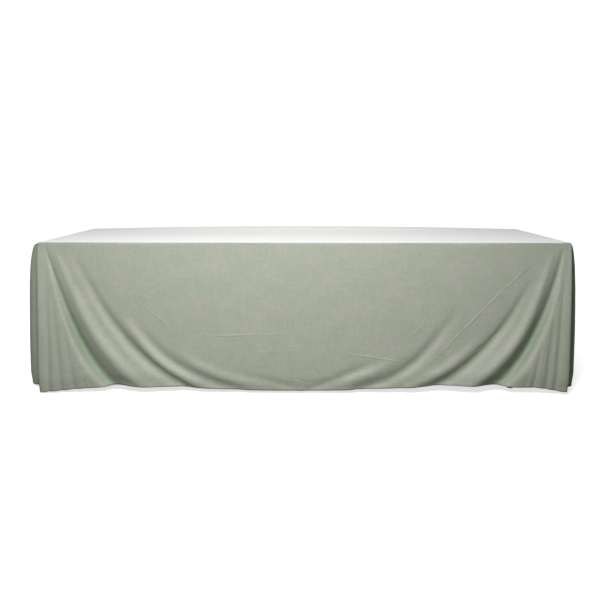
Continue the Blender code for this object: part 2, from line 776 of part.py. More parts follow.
def main():
    fabric = make_material("sage_fabric", (0.38, 0.41, 0.33), 0.75)
    plastic = make_material("moulded_plastic", (0.78, 0.77, 0.73), 0.55)
    black = make_material("black_plastic", (0.03, 0.03, 0.03), 0.50)
    steel = make_material("grey_powder_coat", (0.22, 0.23, 0.24), 0.45, 0.3)
    zinc = make_material("zinc_plate", (0.62, 0.62, 0.60), 0.30, 1.0)
    make_cloth_top(fabric)
    make_cloth_drop(fabric)
    make_hem(fabric)
    make_table_top(plastic)
    for side, sign in SIDES.items():
        make_side_rail(side, sign, steel)
        for end, end_sign in ENDS.items():
            make_rail_plug(side, sign, end, end_sign, black)
    for name, x, y in screw_places():
        make_rail_screw(name, x, y, zinc)
    for end, end_sign in ENDS.items():
        make_cross_rail(end, end_sign, steel)
        make_brace_bracket(end, end_sign, steel, zinc)
        make_leg_frame(end, end_sign, steel, black, zinc)
        make_brace(end, end_sign, steel, zinc)


clear_scene()
PARTS = new_collection("tablecloth_on_banquet_table")
CUTTERS = new_collection("cutters")
main()
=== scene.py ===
"""A floor-length sage tablecloth over a folding banquet table, on a plain white floor.

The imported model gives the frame: +Z up, the origin on the floor under the middle of the table,
+X along its length and the front long side facing -Y. All sizes are in metres.
"""

import json
import logging
import math
from dataclasses import dataclass, field
from enum import Enum

import bpy
import numpy as np
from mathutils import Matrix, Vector, noise

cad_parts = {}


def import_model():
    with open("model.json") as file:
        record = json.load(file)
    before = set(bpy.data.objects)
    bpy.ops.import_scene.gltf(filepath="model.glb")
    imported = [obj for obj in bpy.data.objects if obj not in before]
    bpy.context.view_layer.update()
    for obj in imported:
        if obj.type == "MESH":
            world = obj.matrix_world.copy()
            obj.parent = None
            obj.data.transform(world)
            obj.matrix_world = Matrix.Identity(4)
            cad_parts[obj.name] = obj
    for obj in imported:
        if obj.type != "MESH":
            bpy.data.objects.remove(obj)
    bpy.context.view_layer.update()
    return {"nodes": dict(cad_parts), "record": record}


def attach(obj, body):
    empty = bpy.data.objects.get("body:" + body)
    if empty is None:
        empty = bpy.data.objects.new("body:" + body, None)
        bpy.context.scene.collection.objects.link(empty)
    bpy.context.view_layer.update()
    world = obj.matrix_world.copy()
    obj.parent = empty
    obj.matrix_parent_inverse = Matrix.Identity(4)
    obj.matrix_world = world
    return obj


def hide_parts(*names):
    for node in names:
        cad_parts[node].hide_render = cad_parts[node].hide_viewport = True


LOG = logging.getLogger("tablecloth")

Array = np.ndarray
Colour = tuple[float, float, float]


class Corner(Enum):
    """The four corners of the table, by the way each one faces."""

    FRONT_RIGHT = (1, -1)
    BACK_RIGHT = (1, 1)
    BACK_LEFT = (-1, 1)
    FRONT_LEFT = (-1, -1)


# ------------------------------------------------------------------ small helpers


def smoothstep(low: float, high: float, value: Array) -> Array:
    """A smooth rise from 0 at low to 1 at high.

    Args:
        low: Where the rise starts.
        high: Where the rise ends.
        value: The values to map.

    Returns:
        The mapped values, from 0 to 1.
    """
    t = np.clip((value - low) / (high - low), 0.0, 1.0)
    return t * t * (3 - 2 * t)


def catmull_rom(rows: Array, at: Array) -> Array:
    """Reads a Catmull-Rom curve through rows at fractional row numbers.

    Args:
        rows: One row of numbers for each point that the curve passes through.
        at: Fractional row numbers to read the curve at.

    Returns:
        One row of numbers for each entry of at.
    """
    last = len(rows) - 1
    index = np.clip(np.floor(at).astype(int), 0, last - 1)
    t = (at - index)[:, None]
    before, start = rows[np.maximum(index - 1, 0)], rows[index]
    end, after = rows[index + 1], rows[np.minimum(index + 2, last)]
    return 0.5 * (
        2 * start
        + (end - before) * t
        + (2 * before - 5 * start + 4 * end - after) * t**2
        + (3 * start - before - 3 * end + after) * t**3
    )


def new_mesh_object(name: str, verts: Array, faces: list[tuple[int, ...]]) -> bpy.types.Object:
    """Makes a smooth-shaded mesh object at the origin.

    Args:
        name: The object's name.
        verts: Vertex places, one row each.
        faces: Vertex numbers of each face.

    Returns:
        The new object, linked to the scene.
    """
    mesh = bpy.data.meshes.new(name)
    mesh.from_pydata([tuple(v) for v in verts], [], faces)
    mesh.validate()
    mesh.polygons.foreach_set("use_smooth", [True] * len(mesh.polygons))
    obj = bpy.data.objects.new(name, mesh)
    bpy.context.scene.collection.objects.link(obj)
    return obj


def make_real(obj: bpy.types.Object) -> None:
    """Turns an object's modifiers into plain mesh, so that none is left on it.

    Args:
        obj: The object to change.
    """
    bpy.context.view_layer.update()
    evaluated = obj.evaluated_get(bpy.context.evaluated_depsgraph_get())
    mesh = bpy.data.meshes.new_from_object(evaluated)
    obj.modifiers.clear()
    obj.data = mesh


# ------------------------------------------------------------------ shader node groups


class NodeTree:
    """A few short ways to place and join nodes in one tree.

    Attributes:
        tree: The tree that the nodes go in.
    """

    def __init__(self, tree: bpy.types.NodeTree) -> None:
        """Keeps the tree to build in.

        Args:
            tree: The tree that the nodes go in.
        """
        self.tree = tree

    def add(self, kind: str, **settings: object) -> bpy.types.Node:
        """Adds a node.

        Args:
            kind: The node's type name.
            **settings: Properties to set on it.

        Returns:
            The new node.
        """
        node = self.tree.nodes.new(kind)
        for name, value in settings.items():
            setattr(node, name, value)
        return node

    def join(self, source: bpy.types.NodeSocket, target: bpy.types.NodeSocket) -> None:
        """Links one socket to another.

        Args:
            source: The output to read.
            target: The input to feed.
        """
        self.tree.links.new(source, target)

    def put(self, node: bpy.types.Node, socket: str | int, value: object) -> None:
        """Feeds an input from a socket, or sets its value.

        Args:
            node: The node whose input is fed.
            socket: The input's name or number.
            value: A socket to link from, or a plain value.
        """
        if isinstance(value, bpy.types.NodeSocket):
            self.join(value, node.inputs[socket])
        else:
            node.inputs[socket].default_value = value

    def maths(self, operation: str, *values: object) -> bpy.types.NodeSocket:
        """A Math node.

        Args:
            operation: The operation's name.
            *values: Sockets or numbers for its inputs.

        Returns:
            The node's output.
        """
        node = self.add("ShaderNodeMath", operation=operation)
        for number, value in enumerate(values):
            self.put(node, number, value)
        return node.outputs[0]

    def mix(self, share: object, first: object, second: object) -> bpy.types.NodeSocket:
        """A colour mix.

        Args:
            share: How much of the second colour.
            first: A colour or a socket.
            second: A colour or a socket.

        Returns:
            The mixed colour.
        """
        node = self.add("ShaderNodeMix", data_type="RGBA")
        self.put(node, 0, share)
        self.put(node, 6, first)
        self.put(node, 7, second)
        return node.outputs[2]

    def remap(
        self, value: object, low: float, high: float, to_low: float, to_high: float
    ) -> bpy.types.NodeSocket:
        """A clamped linear remap.

        Args:
            value: The socket to remap.
            low: Input that gives to_low.
            high: Input that gives to_high.
            to_low: Output at low.
            to_high: Output at high.

        Returns:
            The remapped value.
        """
        node = self.add("ShaderNodeMapRange")
        for number, item in enumerate((value, low, high, to_low, to_high)):
            self.put(node, number, item)
        return node.outputs[0]

    def noise(
        self, vector: object, scale: float, detail: float = 2.0, rough: float = 0.5
    ) -> bpy.types.NodeSocket:
        """A noise texture's value.

        Args:
            vector: The coordinates to read it at.
            scale: Cycles in a metre.
            detail: Octaves of finer noise.
            rough: How strong the finer noise is.

        Returns:
            The noise, from 0 to 1.
        """
        node = self.add("ShaderNodeTexNoise")
        self.put(node, "Vector", vector)
        self.put(node, "Scale", scale)
        self.put(node, "Detail", detail)
        self.put(node, "Roughness", rough)
        return node.outputs["Fac"]

    def stretched(
        self, vector: object, scale: tuple[float, float, float]
    ) -> bpy.types.NodeSocket:
        """Coordinates multiplied along each axis.

        Args:
            vector: The coordinates.
            scale: What each axis is multiplied by.

        Returns:
            The multiplied coordinates.
        """
        node = self.add("ShaderNodeVectorMath", operation="MULTIPLY")
        self.put(node, 0, vector)
        self.put(node, 1, scale)
        return node.outputs[0]


def new_group(
    name: str, inputs: dict[str, tuple[str, object]], outputs: dict[str, str]
) -> tuple[NodeTree, bpy.types.Node, bpy.types.Node]:
    """Makes an empty shader group with named sockets.

    Args:
        name: The group's name.
        inputs: Socket type and default value by input name.
        outputs: Socket type by output name.

    Returns:
        The group's NodeTree helper, its input node and its output node.
    """
    group = bpy.data.node_groups.new(name, "ShaderNodeTree")
    for title, (kind, default) in inputs.items():
        socket = group.interface.new_socket(title, in_out="INPUT", socket_type=kind)
        if default is not None:
            socket.default_value = default
    for title, kind in outputs.items():
        group.interface.new_socket(title, in_out="OUTPUT", socket_type=kind)
    nodes = NodeTree(group)
    return nodes, nodes.add("NodeGroupInput"), nodes.add("NodeGroupOutput")


FLOAT = "NodeSocketFloat"
VECTOR = "NodeSocketVector"


def weave_group() -> bpy.types.NodeTree:
    """Plain weave: crossing threads, with slubs and a faint uneven dye.

    Returns:
        The group. Height is for a Bump node, and Tone is about 1 and multiplies the colour.
        Slub Mask is above 0 on thick threads, and Shade drifts from 0 to 1 across the dye.
    """
    nodes, given, out = new_group(
        "plain_weave",
        {
            "Vector": (VECTOR, None),
            "Threads per Metre": (FLOAT, 1400.0),
            "Slub": (FLOAT, 0.05),
            "Mottle": (FLOAT, 0.03),
        },
        {"Height": FLOAT, "Tone": FLOAT, "Slub Mask": FLOAT, "Shade": FLOAT},
    )
    place = given.outputs["Vector"]
    split = nodes.add("ShaderNodeSeparateXYZ")
    nodes.join(place, split.inputs[0])
    threads = given.outputs["Threads per Metre"]
    waves = []
    for axis in (0, 1):
        turn = nodes.maths("MULTIPLY", split.outputs[axis], threads)
        waves.append(nodes.maths("SINE", nodes.maths("MULTIPLY", turn, math.pi)))
    over = nodes.maths("MULTIPLY", waves[0], waves[1])
    crown = nodes.maths(
        "ADD", nodes.maths("ABSOLUTE", waves[0]), nodes.maths("ABSOLUTE", waves[1])
    )
    across = nodes.noise(nodes.stretched(place, (13.0, 170.0, 1.0)), 1.0, 4.0, 0.7)
    along = nodes.noise(nodes.stretched(place, (190.0, 11.0, 1.0)), 1.0, 4.0, 0.7)
    slub = nodes.maths("SUBTRACT", nodes.maths("ADD", across, along), 1.0)
    crossed = nodes.maths("MULTIPLY", over, 0.25)
    height = nodes.maths("ADD", nodes.maths("MULTIPLY", crown, 0.35), crossed)
    height = nodes.maths("ADD", height, nodes.maths("MULTIPLY", slub, 0.8))
    cloudy = nodes.maths("SUBTRACT", nodes.noise(place, 48.0, 5.0, 0.75), 0.5)
    drift = nodes.noise(place, 11.0, 4.0, 0.6)
    nodes.join(nodes.remap(drift, 0.35, 0.65, 0.0, 1.0), out.inputs["Shade"])
    tone = nodes.maths("MULTIPLY", slub, given.outputs["Slub"])
    tone = nodes.maths("ADD", tone, nodes.maths("MULTIPLY", cloudy, given.outputs["Mottle"]))
    nodes.join(height, out.inputs["Height"])
    nodes.join(nodes.maths("ADD", tone, 1.0), out.inputs["Tone"])
    nodes.join(slub, out.inputs["Slub Mask"])
    return nodes.tree


def crease_group() -> bpy.types.NodeTree:
    """One pressed or pulled crease between two places on the flat cloth.

    Returns:
        The group. Height is 1 along the crease and falls to 0 beside it and at its ends.
    """
    nodes, given, out = new_group(
        "crease",
        {
            "Vector": (VECTOR, None),
            "From": (VECTOR, (0.0, 0.0, 0.0)),
            "Run": (VECTOR, (1.0, 0.0, 0.0)),
            "Width": (FLOAT, 0.004),
            "Wander": (FLOAT, 0.006),
        },
        {"Height": FLOAT},
    )
    place, run = given.outputs["Vector"], given.outputs["Run"]
    vector = {}
    for name in ("SUBTRACT", "DOT_PRODUCT", "LENGTH", "NORMALIZE", "CROSS_PRODUCT"):
        vector[name] = nodes.add("ShaderNodeVectorMath", operation=name)
    nodes.join(place, vector["SUBTRACT"].inputs[0])
    nodes.join(given.outputs["From"], vector["SUBTRACT"].inputs[1])
    away = vector["SUBTRACT"].outputs[0]
    nodes.join(run, vector["NORMALIZE"].inputs[0])
    nodes.join(run, vector["LENGTH"].inputs[0])
    unit = vector["NORMALIZE"].outputs[0]
    for name in ("DOT_PRODUCT", "CROSS_PRODUCT"):
        nodes.join(away, vector[name].inputs[0])
        nodes.join(unit, vector[name].inputs[1])
    split = nodes.add("ShaderNodeSeparateXYZ")
    nodes.join(vector["CROSS_PRODUCT"].outputs[0], split.inputs[0])
    along, length = (vector[name].outputs["Value"] for name in ("DOT_PRODUCT", "LENGTH"))
    share = nodes.maths("DIVIDE", along, length)
    wander = nodes.maths("SUBTRACT", nodes.noise(place, 16.0, 3.0, 0.6), 0.5)
    sideways = nodes.maths("MULTIPLY", wander, given.outputs["Wander"])
    offset = nodes.maths("ADD", split.outputs[2], sideways)
    across = nodes.maths("DIVIDE", offset, given.outputs["Width"])
    squared = nodes.maths("MULTIPLY", across, across)
    height = nodes.maths("EXPONENT", nodes.maths("MULTIPLY", squared, -1.0))
    rises, falls = nodes.remap(share, 0.0, 0.25, 0.0, 1.0), nodes.remap(share, 0.7, 1.0, 1.0, 0.0)
    ends = nodes.maths("MULTIPLY", rises, falls)
    broken = nodes.remap(nodes.noise(place, 9.0, 2.0), 0.35, 0.6, 0.35, 1.0)
    whole = nodes.maths("MULTIPLY", height, ends)
    nodes.join(nodes.maths("MULTIPLY", whole, broken), out.inputs["Height"])
    return nodes.tree


def grain_group() -> bpy.types.NodeTree:
    """Fine pebble grain of moulded plastic or powder coat.

    Returns:
        The group. Height is for a Bump node; Tone is about 1 and multiplies the colour.
    """
    nodes, given, out = new_group(
        "fine_grain",
        {"Vector": (VECTOR, None), "Scale": (FLOAT, 900.0), "Unevenness": (FLOAT, 0.06)},
        {"Height": FLOAT, "Tone": FLOAT},
    )
    place = given.outputs["Vector"]
    cells = nodes.add("ShaderNodeTexVoronoi")
    nodes.join(place, cells.inputs["Vector"])
    nodes.join(given.outputs["Scale"], cells.inputs["Scale"])
    cloudy = nodes.maths("SUBTRACT", nodes.noise(place, 14.0, 4.0), 0.5)
    tone = nodes.maths("MULTIPLY", cloudy, given.outputs["Unevenness"])
    nodes.join(cells.outputs["Distance"], out.inputs["Height"])
    nodes.join(nodes.maths("ADD", tone, 1.0), out.inputs["Tone"])
    return nodes.tree


def wear_group() -> bpy.types.NodeTree:
    """Scuffs and rubbed spots, from broken noise.

    Returns:
        The group. Mask is 0 where the finish is whole and 1 where it is rubbed.
    """
    nodes, given, out = new_group(
        "scuffs",
        {"Vector": (VECTOR, None), "Amount": (FLOAT, 0.2)},
        {"Mask": FLOAT},
    )
    place = given.outputs["Vector"]
    broad = nodes.noise(place, 22.0, 5.0, 0.7)
    fine = nodes.noise(nodes.stretched(place, (60.0, 400.0, 400.0)), 1.0, 3.0, 0.6)
    both = nodes.maths("MULTIPLY", broad, fine)
    edge = nodes.maths("SUBTRACT", 0.42, nodes.maths("MULTIPLY", given.outputs["Amount"], 0.25))
    rubbed = nodes.maths("SUBTRACT", both, edge)
    nodes.join(nodes.remap(rubbed, 0.0, 0.06, 0.0, 1.0), out.inputs["Mask"])
    return nodes.tree


# ------------------------------------------------------------------ finishes


@dataclass(frozen=True)
class Crease:
    """A crease pressed or pulled into the cloth, in the flat cloth's coordinates.

    Attributes:
        start: Where it starts.
        end: Where it ends.
        width: Half its width.
        height: How far it stands out, as a share of the crease depth. Below 0 it is a groove.
        wander: How far it strays from a straight line.
    """

    start: tuple[float, float]
    end: tuple[float, float]
    width: float = 0.004
    height: float = 1.0
    wander: float = 0.006


@dataclass(frozen=True)
class ClothFinish:
    """Soft satin woven polyester.

    The cloth's dye is sage all over. The flat top carries a painted highlight: it is painted near
    white, with a crisp line where it turns over. The hollows between the drop's folds carry
    painted shade, darker and greener.

    Attributes:
        name: The material's name.
        drop: The drop's colour.
        drop_greener: The greener shade that the drop's dye drifts to.
        painted_hollow_shade: Painted shade: the darker, greener colour painted at the bottom of a
            deep hollow between folds, in place of its shadow and green bounce light.
        painted_shade_strength: How much of that painted shade the deepest hollow takes.
        top: The flat top's painted highlight colour, near white, in place of the bright light and
            sheen that wash out the sage top.
        top_unevenness: How much the slubs and mottle show through the top's painted highlight, as
            a share of the drop's.
        roughness: The cloth's roughness between slubs.
        slub_roughness: How much rougher a slub is.
        sheen: The weight of the sheen.
        threads_per_metre: Threads in a metre, each way.
        slub: How much thick threads change the tone.
        mottle: How much the dye's cloudiness changes the tone.
        crease_depth: How far a crease of height 1 stands out.
        weave_depth: How far the weave stands out.
        coordinates: The name of the flat cloth's coordinates on the mesh.
        creases: The creases of the front.
    """

    name: str = "sage_fabric"
    drop: Colour = (0.284, 0.292, 0.250)
    drop_greener: Colour = (0.252, 0.286, 0.224)
    painted_hollow_shade: Colour = (0.168, 0.244, 0.146)
    painted_shade_strength: float = 0.8
    top: Colour = (0.85, 0.845, 0.855)
    top_unevenness: float = 0.15
    roughness: float = 0.42
    slub_roughness: float = 0.12
    sheen: float = 0.03
    threads_per_metre: float = 1400.0
    slub: float = 0.24
    mottle: float = 0.32
    crease_depth: float = 0.0012
    weave_depth: float = 0.0008
    coordinates: str = "cloth"
    creases: tuple[Crease, ...] = (
        Crease((1.075, -0.455), (0.575, -0.975), 0.0040, 1.4, 0.016),
        Crease((0.965, -0.790), (0.800, -0.905), 0.0035, -2.2, 0.006),
        Crease((0.660, -0.650), (0.470, -0.860), 0.0045, 0.8, 0.018),
        Crease((-0.900, -0.560), (-0.560, -0.830), 0.0050, 0.7, 0.018),
        Crease((-0.600, -0.822), (0.040, -0.808), 0.0045, 0.9, 0.022),
        Crease((0.170, -0.900), (0.500, -0.945), 0.0035, 1.1, 0.010),
        Crease((-0.300, -0.905), (0.020, -0.890), 0.0030, 0.5, 0.012),
        Crease((-0.420, -0.850), (-0.080, -0.835), 0.0040, -0.6, 0.026),
        Crease((-0.100, -1.010), (0.080, -1.060), 0.0040, -0.8, 0.006),
    )

    def build(self, weave: bpy.types.NodeTree, crease: bpy.types.NodeTree) -> bpy.types.Material:
        """Makes the material.

        Args:
            weave: The plain weave group.
            crease: The crease group.

        Returns:
            The new material.
        """
        material = bpy.data.materials.new(self.name)
        material.use_nodes = True
        nodes = NodeTree(material.node_tree)
        shader = material.node_tree.nodes["Principled BSDF"]
        uv = nodes.add("ShaderNodeUVMap", uv_map=self.coordinates).outputs[0]
        threads = nodes.add("ShaderNodeGroup", node_tree=weave)
        nodes.join(uv, threads.inputs["Vector"])
        threads.inputs["Threads per Metre"].default_value = self.threads_per_metre
        threads.inputs["Slub"].default_value = self.slub
        threads.inputs["Mottle"].default_value = self.mottle
        # Mask of the flat top, where the painted highlight goes.
        mask = nodes.add("ShaderNodeAttribute", attribute_name="on_top")
        on_top = nodes.remap(mask.outputs["Fac"], 0.4, 0.6, 0.0, 1.0)
        dye_and_painted_light = nodes.mix(threads.outputs["Shade"], (*self.drop, 1.0), (*self.drop_greener, 1.0))
        # Painted shade: hollows between folds are painted darker and greener, in place of their
        # shadow and green bounce light.
        hollow = nodes.add("ShaderNodeAttribute", attribute_name="hollow").outputs["Fac"]
        deeper = nodes.maths("MULTIPLY", hollow, self.painted_shade_strength)
        dye_and_painted_light = nodes.mix(deeper, dye_and_painted_light, (*self.painted_hollow_shade, 1.0))
        # Painted highlight: the flat top is painted near white, in place of the bright light and
        # sheen that wash it out.
        dye_and_painted_light = nodes.mix(on_top, dye_and_painted_light, (*self.top, 1.0))
        faded = nodes.maths("SUBTRACT", threads.outputs["Tone"], 1.0)
        strength = nodes.remap(on_top, 0.0, 1.0, 1.0, self.top_unevenness)
        tone = nodes.maths("ADD", nodes.maths("MULTIPLY", faded, strength), 1.0)
        tinted = nodes.add("ShaderNodeVectorMath", operation="SCALE")
        nodes.join(dye_and_painted_light, tinted.inputs[0])
        nodes.join(tone, tinted.inputs["Scale"])
        nodes.join(tinted.outputs[0], shader.inputs["Base Color"])
        rough = nodes.maths("MULTIPLY", threads.outputs["Slub Mask"], self.slub_roughness)
        nodes.join(nodes.maths("ADD", self.roughness, rough), shader.inputs["Roughness"])
        pressed = 0.0
        for mark in self.creases:
            line = nodes.add("ShaderNodeGroup", node_tree=crease)
            nodes.join(uv, line.inputs["Vector"])
            run = (mark.end[0] - mark.start[0], mark.end[1] - mark.start[1], 0.0)
            line.inputs["From"].default_value = (*mark.start, 0.0)
            line.inputs["Run"].default_value = run
            line.inputs["Width"].default_value = mark.width
            line.inputs["Wander"].default_value = mark.wander
            level = nodes.maths("MULTIPLY", line.outputs["Height"], mark.height)
            pressed = nodes.maths("ADD", level, pressed)
        soft = nodes.add("ShaderNodeBump")
        soft.inputs["Strength"].default_value = 1.0
        soft.inputs["Distance"].default_value = self.crease_depth
        nodes.join(pressed, soft.inputs["Height"])
        bump = nodes.add("ShaderNodeBump")
        bump.inputs["Strength"].default_value = 0.45
        bump.inputs["Distance"].default_value = self.weave_depth
        nodes.join(threads.outputs["Height"], bump.inputs["Height"])
        nodes.join(soft.outputs[0], bump.inputs["Normal"])
        nodes.join(bump.outputs[0], shader.inputs["Normal"])
        shader.inputs["Sheen Weight"].default_value = self.sheen
        shader.inputs["Sheen Roughness"].default_value = 0.45
        shader.inputs["Sheen Tint"].default_value = (0.97, 0.96, 0.95, 1.0)
        shader.inputs["IOR"].default_value = 1.5
        return material


@dataclass(frozen=True)
class ThreadFinish:
    """Spun polyester sewing thread, a little deeper than the cloth.

    Attributes:
        name: The material's name.
        colour: The thread's colour.
    """

    name: str = "hem_thread"
    colour: Colour = (0.270, 0.300, 0.235)

    def build(self) -> bpy.types.Material:
        """Makes the material.

        Returns:
            The new material.
        """
        material = bpy.data.materials.new(self.name)
        material.use_nodes = True
        nodes = NodeTree(material.node_tree)
        shader = material.node_tree.nodes["Principled BSDF"]
        place = nodes.add("ShaderNodeTexCoord").outputs["Object"]
        tone = nodes.remap(nodes.noise(place, 300.0), 0.3, 0.7, 0.85, 1.1)
        tinted = nodes.add("ShaderNodeVectorMath", operation="SCALE")
        tinted.inputs[0].default_value = self.colour
        nodes.join(tone, tinted.inputs["Scale"])
        nodes.join(tinted.outputs[0], shader.inputs["Base Color"])
        shader.inputs["Roughness"].default_value = 0.55
        return material


@dataclass(frozen=True)
class HardFinish:
    """Painted, moulded or plated, with a fine grain and a few scuffs.

    Attributes:
        name: The material's name.
        colour: Its colour where it is whole.
        rubbed: Its colour where it is rubbed.
        roughness: Its roughness where it is whole.
        metallic: 1 for bare metal, 0 for plastic or paint.
        grain_scale: How fine the grain is.
        grain_depth: How far the grain stands out.
        scuffs: How much of it is rubbed.
    """

    name: str
    colour: Colour
    rubbed: Colour
    roughness: float
    metallic: float = 0.0
    grain_scale: float = 900.0
    grain_depth: float = 0.0001
    scuffs: float = 0.2

    def build(self, grain: bpy.types.NodeTree, wear: bpy.types.NodeTree) -> bpy.types.Material:
        """Makes the material.

        Args:
            grain: The fine grain group.
            wear: The scuffs group.

        Returns:
            The new material.
        """
        material = bpy.data.materials.new(self.name)
        material.use_nodes = True
        nodes = NodeTree(material.node_tree)
        shader = material.node_tree.nodes["Principled BSDF"]
        place = nodes.add("ShaderNodeTexCoord").outputs["Object"]
        skin = nodes.add("ShaderNodeGroup", node_tree=grain)
        nodes.join(place, skin.inputs["Vector"])
        skin.inputs["Scale"].default_value = self.grain_scale
        marks = nodes.add("ShaderNodeGroup", node_tree=wear)
        nodes.join(place, marks.inputs["Vector"])
        marks.inputs["Amount"].default_value = self.scuffs
        mask = marks.outputs["Mask"]
        tinted = nodes.add("ShaderNodeVectorMath", operation="SCALE")
        nodes.join(nodes.mix(mask, (*self.colour, 1.0), (*self.rubbed, 1.0)), tinted.inputs[0])
        nodes.join(skin.outputs["Tone"], tinted.inputs["Scale"])
        nodes.join(tinted.outputs[0], shader.inputs["Base Color"])
        rough = nodes.maths("ADD", self.roughness, nodes.maths("MULTIPLY", mask, 0.15))
        nodes.join(rough, shader.inputs["Roughness"])
        shader.inputs["Metallic"].default_value = self.metallic
        bump = nodes.add("ShaderNodeBump")
        bump.inputs["Strength"].default_value = 0.3
        bump.inputs["Distance"].default_value = self.grain_depth
        nodes.join(skin.outputs["Height"], bump.inputs["Height"])
        nodes.join(bump.outputs[0], shader.inputs["Normal"])
        return material


HARD_FINISHES = (
    HardFinish(
        name="moulded_plastic",
        colour=(0.72, 0.71, 0.66),
        rubbed=(0.55, 0.54, 0.50),
        roughness=0.5,
        grain_scale=700.0,
        grain_depth=0.00025,
    ),
    HardFinish(
        name="black_plastic",
        colour=(0.02, 0.02, 0.02),
        rubbed=(0.08, 0.08, 0.08),
        roughness=0.5,
        scuffs=0.4,
    ),
    HardFinish(
        name="grey_powder_coat",
        colour=(0.17, 0.175, 0.18),
        rubbed=(0.40, 0.39, 0.38),
        roughness=0.42,
        metallic=0.2,
        grain_scale=1500.0,
        grain_depth=0.00006,
    ),
    HardFinish(
        name="zinc_plate",
        colour=(0.60, 0.60, 0.57),
        rubbed=(0.42, 0.41, 0.38),
        roughness=0.32,
        metallic=1.0,
        grain_scale=1800.0,
        grain_depth=0.00003,
        scuffs=0.3,
    ),
)

# ------------------------------------------------------------------ tablecloth

STROKE_SAMPLES = 90
SMOOTHING_REACH = 30
HEM_ROWS = 3
TURN_DEGREES = (90, 72, 54, 36, 18)
TURNED_RINGS_ON_TOP = 2


@dataclass(frozen=True)
class FoldLine:
    """A crest or hollow that runs down the cloth near a corner of the table.

    Places are (beyond the end, beyond the long side) of the table top, so a negative number is
    inside that edge.

    Attributes:
        edge: Where it leaves the table's edge.
        hem: Where it reaches the hem.
        belly: The power of its fall. Below 1 it swings out early, and above 1 it hangs in.
        lift: How far its hem is above the hem's lowest places.
    """

    edge: tuple[float, float]
    hem: tuple[float, float]
    belly: float
    lift: float

    def row(self) -> list[float]:
        """The line as one row of numbers.

        Returns:
            Edge x, edge y, hem x, hem y, belly and lift.
        """
        return [*self.edge, *self.hem, self.belly, self.lift]


@dataclass(frozen=True)
class Stroke:
    """A ridge or hollow on one long side that crosses the cloth's columns.

    Attributes:
        points: Each is (distance in from the corner, share of the drop, height out, half width).
        smoothing: How far the line is smoothed along itself, in samples.
        corner_side: How wide the flank towards the corner is, as a share of the half width.
        far_side: How wide the flank away from the corner is, as a share of the half width.
    """

    points: tuple[tuple[float, float, float, float], ...]
    smoothing: float = 9.0
    corner_side: float = 1.0
    far_side: float = 1.0

    def path(self, drop: float) -> tuple[Array, Array, Array]:
        """The stroke as a fine line.

        Args:
            drop: The cloth's fall, to turn shares into metres.

        Returns:
            Places (distance in, depth), heights and half widths along it.
        """
        at = np.linspace(0, len(self.points) - 1, STROKE_SAMPLES)
        rows = catmull_rom(np.array(self.points), at)
        spread = SMOOTHING_REACH
        before = 2 * rows[0] - rows[spread:0:-1]
        after = 2 * rows[-1] - rows[-2 : -2 - spread : -1]
        padded = np.concatenate([before, rows, after])
        weights = np.exp(-0.5 * (np.arange(-spread, spread + 1) / self.smoothing) ** 2)
        weights /= weights.sum()
        smooth = np.stack([np.convolve(c, weights, "valid") for c in padded.T], axis=1)
        return smooth[:, 0:2] * (1.0, drop), smooth[:, 2], smooth[:, 3]


@dataclass(frozen=True)
class CornerDrape:
    """How the cloth falls at one corner and along half of each side next to it.

    Attributes:
        folds: Its fold lines, from the long side round to the short side.
        strokes: The ridges and hollows of its half of the long side.
    """

    folds: tuple[FoldLine, ...]
    strokes: tuple[Stroke, ...]


